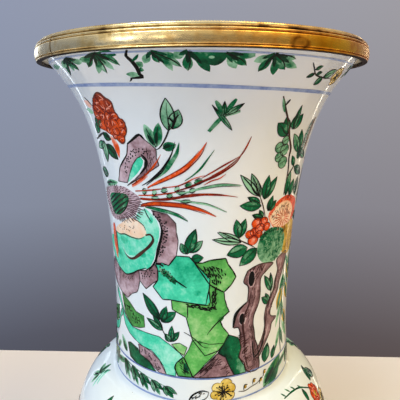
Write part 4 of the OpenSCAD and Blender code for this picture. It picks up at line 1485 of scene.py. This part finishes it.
# Camera: focal length in pixels of the photograph's frame, place and tilt from its perspective

FRAME_PX = 400
FOCAL_PX = 428
SENSOR = 36.0
EYE = (-0.00114, -0.31335, 0.4182)
TILT_DOWN = 12.24
NEAREST = 0.01


def add_camera():
    data = bpy.data.cameras.new("camera")
    data.sensor_width = SENSOR
    data.lens = SENSOR * FOCAL_PX / FRAME_PX
    data.clip_start = NEAREST
    camera = bpy.data.objects.new("camera", data)
    camera.location = EYE
    camera.rotation_euler = (math.radians(90 - TILT_DOWN), 0, 0)
    scene.collection.objects.link(camera)
    scene.camera = camera


# Porcelain

# Height in mm up to which the foot ring stays bare inside
RING_GLAZE = 1.5


def add_porcelain(glaze):
    """The four glazed sections and the bare ring under the foot."""
    def section(name, outside, inside, nodes):
        piece = add_piece(name, *turned(outside + inside[::-1]), glaze, "glazed_porcelain")
        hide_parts(*nodes)

    neck_in = neck_slip.upper_inside + profile("trumpet_neck", -1)
    section("neck_glazed", neck_out, neck_in, ["trumpet_neck", neck_slip.node])
    shoulder_in = belly_slip.upper_inside + profile("shoulder", -1) + neck_slip.lower_inside
    section("shoulder_glazed", shoulder_out, shoulder_in, ["shoulder", belly_slip.node])
    lower_in = foot_slip.upper_inside + profile("lower_body", -1) + belly_slip.lower_inside
    section("lower_body_glazed", lower_out, lower_in, ["lower_body", foot_slip.node])

    hollow = profile("foot", -1)
    base = underside("foot")
    recess = [p for p in hollow if p[1] < base + SAME]
    inside = hollow[len(recess):]
    share = RING_GLAZE / recess[1][1]
    glaze_in = (recess[0][0] + share * (recess[1][0] - recess[0][0]), RING_GLAZE)
    under = [(0, base)] + recess[:0:-1] + [glaze_in]
    inner = [(0, inside[0][1])] + inside + foot_slip.lower_inside
    section("foot_glazed", under + foot_out[1:], inner, ["foot"])
    ring = [recess[0], foot_out[0], foot_out[1], glaze_in]
    add_piece("foot_ring_biscuit", *turned(ring), biscuit_material(), "biscuit")


# Rim mount

COLLAR_SEGMENTS = 720
# Distance in mm between the rows of points that carry the stains
STAIN_ROW = 0.6
# The collar's hollows darken from this far behind its outermost point, over this depth in mm
HOLLOW_START = 0.4
HOLLOW_DEPTH = 1.6
# Painted shadow along the collar's lower edge: height in mm and its darkness
LOWER_EDGE = 0.3
LOWER_EDGE_SHADOW = 1.6
# Stains: turn from the front in degrees, height and reach in mm
STAINS = [(-23.5, 452, 1.6), (-17.4, 454.5, 1.4), (-17.4, 451.5, 1.4), (-58, 449, 1.6)]
STAIN_MOST = 0.8
STAIN_CORE = 1.3
# Ring-shaped stain: turn from the front, height, half axes, grime on the ring, how uneven that is and
# where, how fast it falls off on both sides, and the least of it inside
RING_TURN = 25.2
RING_HEIGHT = 447.9
RING_HALF = (4.4, 2.6)
RING_GRIME = 0.85
RING_UNEVEN = 0.2
RING_PHASE = 2.5
RING_FALL = 1.6
RING_INSIDE = 0.4
LINER_GRIME = 0.35
# Milled wire: ticks round the rim, their depth in mm, how far they pinch the wire and how much darker the
# notches are
MILL_TICKS = 480
MILL_DEPTH = 0.5
MILL_PINCH = 0.2
MILL_NOTCH_DARKNESS = 0.9


def close_rows(points):
    """The same outline with points no more than STAIN_ROW apart."""
    result = points[:1]
    for a, b in zip(points, points[1:]):
        pieces = math.ceil(math.dist(a, b) / STAIN_ROW)
        for k in range(1, pieces + 1):
            result.append((a[0] + (b[0] - a[0]) * k / pieces, a[1] + (b[1] - a[1]) * k / pieces))
    return result


def ring_grime(along, up):
    """Ring-shaped stain on the collar: darkest on the ring, uneven round it, lighter inside."""
    share = math.hypot(along / RING_HALF[0], up / RING_HALF[1])
    uneven = RING_GRIME + RING_UNEVEN * math.sin(2 * math.atan2(up, along) + RING_PHASE)
    return max(uneven - RING_FALL * abs(share - 1), RING_INSIDE if share < 1 else 0.0)


def collar_grime_and_shadow(place, outermost, lower_edge):
    """Darkening at a place of the collar: in its hollows, a painted shadow along its lower edge, and grime
    in the stains.
    """
    x, y, z = place
    reach = math.hypot(x, y) / MM
    height = z / MM
    turn = math.degrees(math.atan2(x, -y))
    grime = min(max((outermost - reach - HOLLOW_START) / HOLLOW_DEPTH, 0.0), 1.0)
    # Painted shadow where the collar's lower edge meets the porcelain
    if height - lower_edge < LOWER_EDGE:
        grime = LOWER_EDGE_SHADOW
    grime = max(grime, ring_grime(math.radians(turn - RING_TURN) * reach, height - RING_HEIGHT))
    for stain_turn, stain_height, size in STAINS:
        apart = math.hypot(math.radians(turn - stain_turn) * reach, height - stain_height)
        grime = max(grime, min(STAIN_MOST, STAIN_CORE - STAIN_CORE * apart / size))
    return grime


def add_collar(gilt):
    """The moulded collar, open at the joint where the brazing metal sits."""
    face = close_rows(profile("rim_collar", 1))
    back = profile("rim_collar", -1)
    braze_low, braze_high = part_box("collar_seam_braze")
    middle = (braze_low + braze_high) / 2
    radius = math.hypot(middle.x, middle.y)
    seam = math.hypot(braze_high.x - braze_low.x, braze_high.y - braze_low.y) / radius
    start = math.atan2(middle.y, middle.x) + seam / 4
    vertices, faces = turned(face + back[::-1], COLLAR_SEGMENTS, start, TURN - seam / 2)
    outermost = max(r for r, _ in face)
    # Hollows, stains and a painted shadow along the lower edge, for each point
    tones = [collar_grime_and_shadow(place, outermost, face[0][1]) for place in vertices]
    collar = add_piece("rim_collar_gilt", vertices, faces, gilt, "gilt_bronze", tones)
    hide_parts("rim_collar")


def add_liner(gilt):
    """The sleeve inside the lip."""
    outside = profile("rim_liner", 1)
    inside = profile("rim_liner", -1)
    vertices, faces = turned(outside + inside[::-1], COLLAR_SEGMENTS)
    tones = [LINER_GRIME] * len(vertices)
    liner = add_piece("rim_liner_gilt", vertices, faces, gilt, "gilt_bronze", tones)
    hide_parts("rim_liner")


def add_milled_edge(gilt):
    """The wire along the top, notched on its upper half."""
    wire = profile("milled_edge", 1) + profile("milled_edge", -1)[::-1]
    vertices, faces = turned(wire, 2 * MILL_TICKS)
    low = min(z for _, z in wire)
    high = max(z for _, z in wire)
    centre = sum(r for r, _ in wire) / len(wire) * MM
    milled = []
    tones = []
    for i, (x, y, z) in enumerate(vertices):
        crown = max(2 * (z / MM - low) / (high - low) - 1, 0)
        notch = crown * (i % 2)
        reach = math.hypot(x, y)
        inward = (reach - centre) * (1 - MILL_PINCH * notch) + centre
        milled.append((x * inward / reach, y * inward / reach, z - MILL_DEPTH * MM * notch))
        tones.append(MILL_NOTCH_DARKNESS * notch)
    edge = add_piece("milled_edge_gilt", milled, faces, gilt, "gilt_bronze", tones, sharp=MILLED_SHARP)
    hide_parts("milled_edge")


def add_mount():
    """The gilt pieces, and the looks of the two nodes that stay as they are."""
    gilt = gilt_material()
    add_collar(gilt)
    add_liner(gilt)
    add_milled_edge(gilt)
    for node, material in (("collar_seam_braze", braze_material()), ("rim_bedding", plaster_material())):
        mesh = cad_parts[node].data
        mesh.materials.clear()
        mesh.materials.append(material)


# Stage

# Table: distance of its far edge, how that edge slants, half width and thickness
TABLE_BACK = 0.356
TABLE_SLANT = 0.0324
TABLE_HALF = 1.6
TABLE_T = 0.03


def table_material():
    """Pale table top with painted light and shade: darker and bluer in front, most of all on the left."""
    g = Surface("table")
    place = g.split(g.place)
    # Painted light: the colours change from left to right and from front to back as the light falls on the
    # table
    side = g.range(place["X"], -0.4, 0.4)
    far = g.mix(side, srgb(253, 237, 229), srgb(255, 248, 253))
    near = g.mix(side, srgb(204, 212, 224), srgb(230, 216, 226))
    g.set("Base Color", g.mix(g.range(place["Y"], -0.3, 0.2), near, far))
    g.set("Roughness", g.clouds(0.01, 3, 0.5, 0.6))
    return g.material


def add_stage():
    x = TABLE_HALF
    slant = TABLE_SLANT * x
    corners = [(-x, -x), (x, -x), (x, TABLE_BACK - slant), (-x, TABLE_BACK + slant)]
    vertices = [(a, b, z) for z in (-TABLE_T, 0) for a, b in corners]
    faces = [(3, 2, 1, 0), (4, 5, 6, 7), (0, 1, 5, 4), (1, 2, 6, 5), (2, 3, 7, 6), (3, 0, 4, 7)]
    mesh = bpy.data.meshes.new("table")
    mesh.from_pydata(vertices, [], faces)
    mesh.materials.append(table_material())
    table = bpy.data.objects.new("table", mesh)
    scene.collection.objects.link(table)


# Lamps: name, place, height on the axis that they look at, size, power and colour
LAMPS = [
    ("low_window", (-1.05, -1.0, 0.64), 0.4, (0.3, 0.3), 1.9, (0.95, 0.97, 1.02)),
    ("front_window", (-0.55, -1.3, 0.64), 0.4, (0.3, 0.25), 0.6, (1.0, 0.96, 0.9)),
    ("back_window", (-0.9, 1.07, 0.62), 0.45, (0.4, 0.2), 0.5, (0.84, 0.94, 1.0)),
    ("cool_lamp", (-0.8, -1.0, 1.8), 0.3, (1.0, 1.0), 25.5, (0.82, 0.94, 1.01)),
    ("warm_lamp", (1.0, -0.8, 1.8), 0.3, (0.9, 0.9), 23.0, (1.0, 0.79, 0.38)),
    ("left_window", (-0.5, 0.42, 0.35), 0.3, (0.013, 0.9), 0.17, (0.82, 0.92, 1.0)),
    ("right_window", (0.5, 0.42, 0.35), 0.3, (0.012, 0.9), 0.26, (1.0, 0.9, 0.72)),
]


def add_lamps():
    for name, place, aim, size, power, colour in LAMPS:
        data = bpy.data.lights.new(name, "AREA")
        data.shape = "RECTANGLE"
        data.size, data.size_y = size
        data.energy = power
        data.color = colour
        lamp = bpy.data.objects.new(name, data)
        lamp.location = place
        lamp.rotation_mode = "QUATERNION"
        lamp.rotation_quaternion = (Vector((0, 0, aim)) - Vector(place)).to_track_quat("-Z", "Y")
        lamp.visible_camera = False
        scene.collection.objects.link(lamp)


# World

# Wall: upward parts of the direction between which its shades lie, and sideways part for left and right
WALL_LOW = -0.55
WALL_HIGH = 0.9
WALL_SIDE = 0.4
WALL_LEFT = [
    (0.02, srgb(80, 83, 95)), (0.057, srgb(87, 89, 102)), (0.233, srgb(133, 140, 158)),
    (0.53, srgb(146, 154, 176)), (0.7, srgb(214, 217, 222)), (1.0, srgb(250, 250, 250)),
]
WALL_RIGHT = [
    (0.02, srgb(88, 76, 74)), (0.057, srgb(94, 85, 86)), (0.233, srgb(137, 134, 141)),
    (0.53, srgb(160, 158, 164)), (0.7, srgb(220, 214, 206)), (1.0, srgb(250, 248, 240)),
]
# Soft light: sideways and upward parts of the direction between which its tint changes, and its strength
SOFT_SIDE = 0.8
SOFT_LOW = 0.15
SOFT_HIGH = 0.6
SOFT_STRENGTH = 0.28


def add_world():
    """Grey wall for what looks at it, and a soft light, cool left and warm right, for the rest."""
    world = bpy.data.worlds.new("room")
    world.use_nodes = True
    scene.world = world
    world.node_tree.nodes.clear()
    g = Graph(world.node_tree)
    direction = g.split(g.node("TexCoord").outputs["Generated"])

    height = g.range(direction["Z"], WALL_LOW, WALL_HIGH)
    across = g.range(direction["X"], -WALL_SIDE, WALL_SIDE)
    wall = g.node("Background")
    g.plug(wall.inputs["Color"], g.mix(across, g.ramp(height, WALL_LEFT), g.ramp(height, WALL_RIGHT)))

    side = g.range(direction["X"], -SOFT_SIDE, SOFT_SIDE)
    level = g.mix(side, (0.74, 1.04, 1.7, 1.0), (1.6, 1.02, 0.4, 1.0))
    above = g.mix(side, (0.88, 0.95, 1.04, 1.0), (1.02, 0.84, 0.44, 1.0))
    soft = g.node("Background")
    g.plug(soft.inputs["Color"], g.mix(g.range(direction["Z"], SOFT_LOW, SOFT_HIGH), level, above))
    g.plug(soft.inputs["Strength"], SOFT_STRENGTH)

    rays = g.node("LightPath").outputs
    seen = g.math("MAXIMUM", rays["Is Camera Ray"], rays["Is Glossy Ray"])
    seen = g.math("MAXIMUM", seen, rays["Is Transmission Ray"])
    both = g.node("MixShader")
    for socket, value in zip(both.inputs, (seen, soft.outputs["Background"], wall.outputs["Background"])):
        g.plug(socket, value)
    g.plug(g.node("OutputWorld").inputs["Surface"], both.outputs["Shader"])


add_camera()
add_porcelain(glaze_material())
add_mount()
add_painting("neck", paint_neck())
add_painting("body", paint_body())
add_stage()
add_lamps()
add_world()
scene.view_settings.view_transform = "Standard"
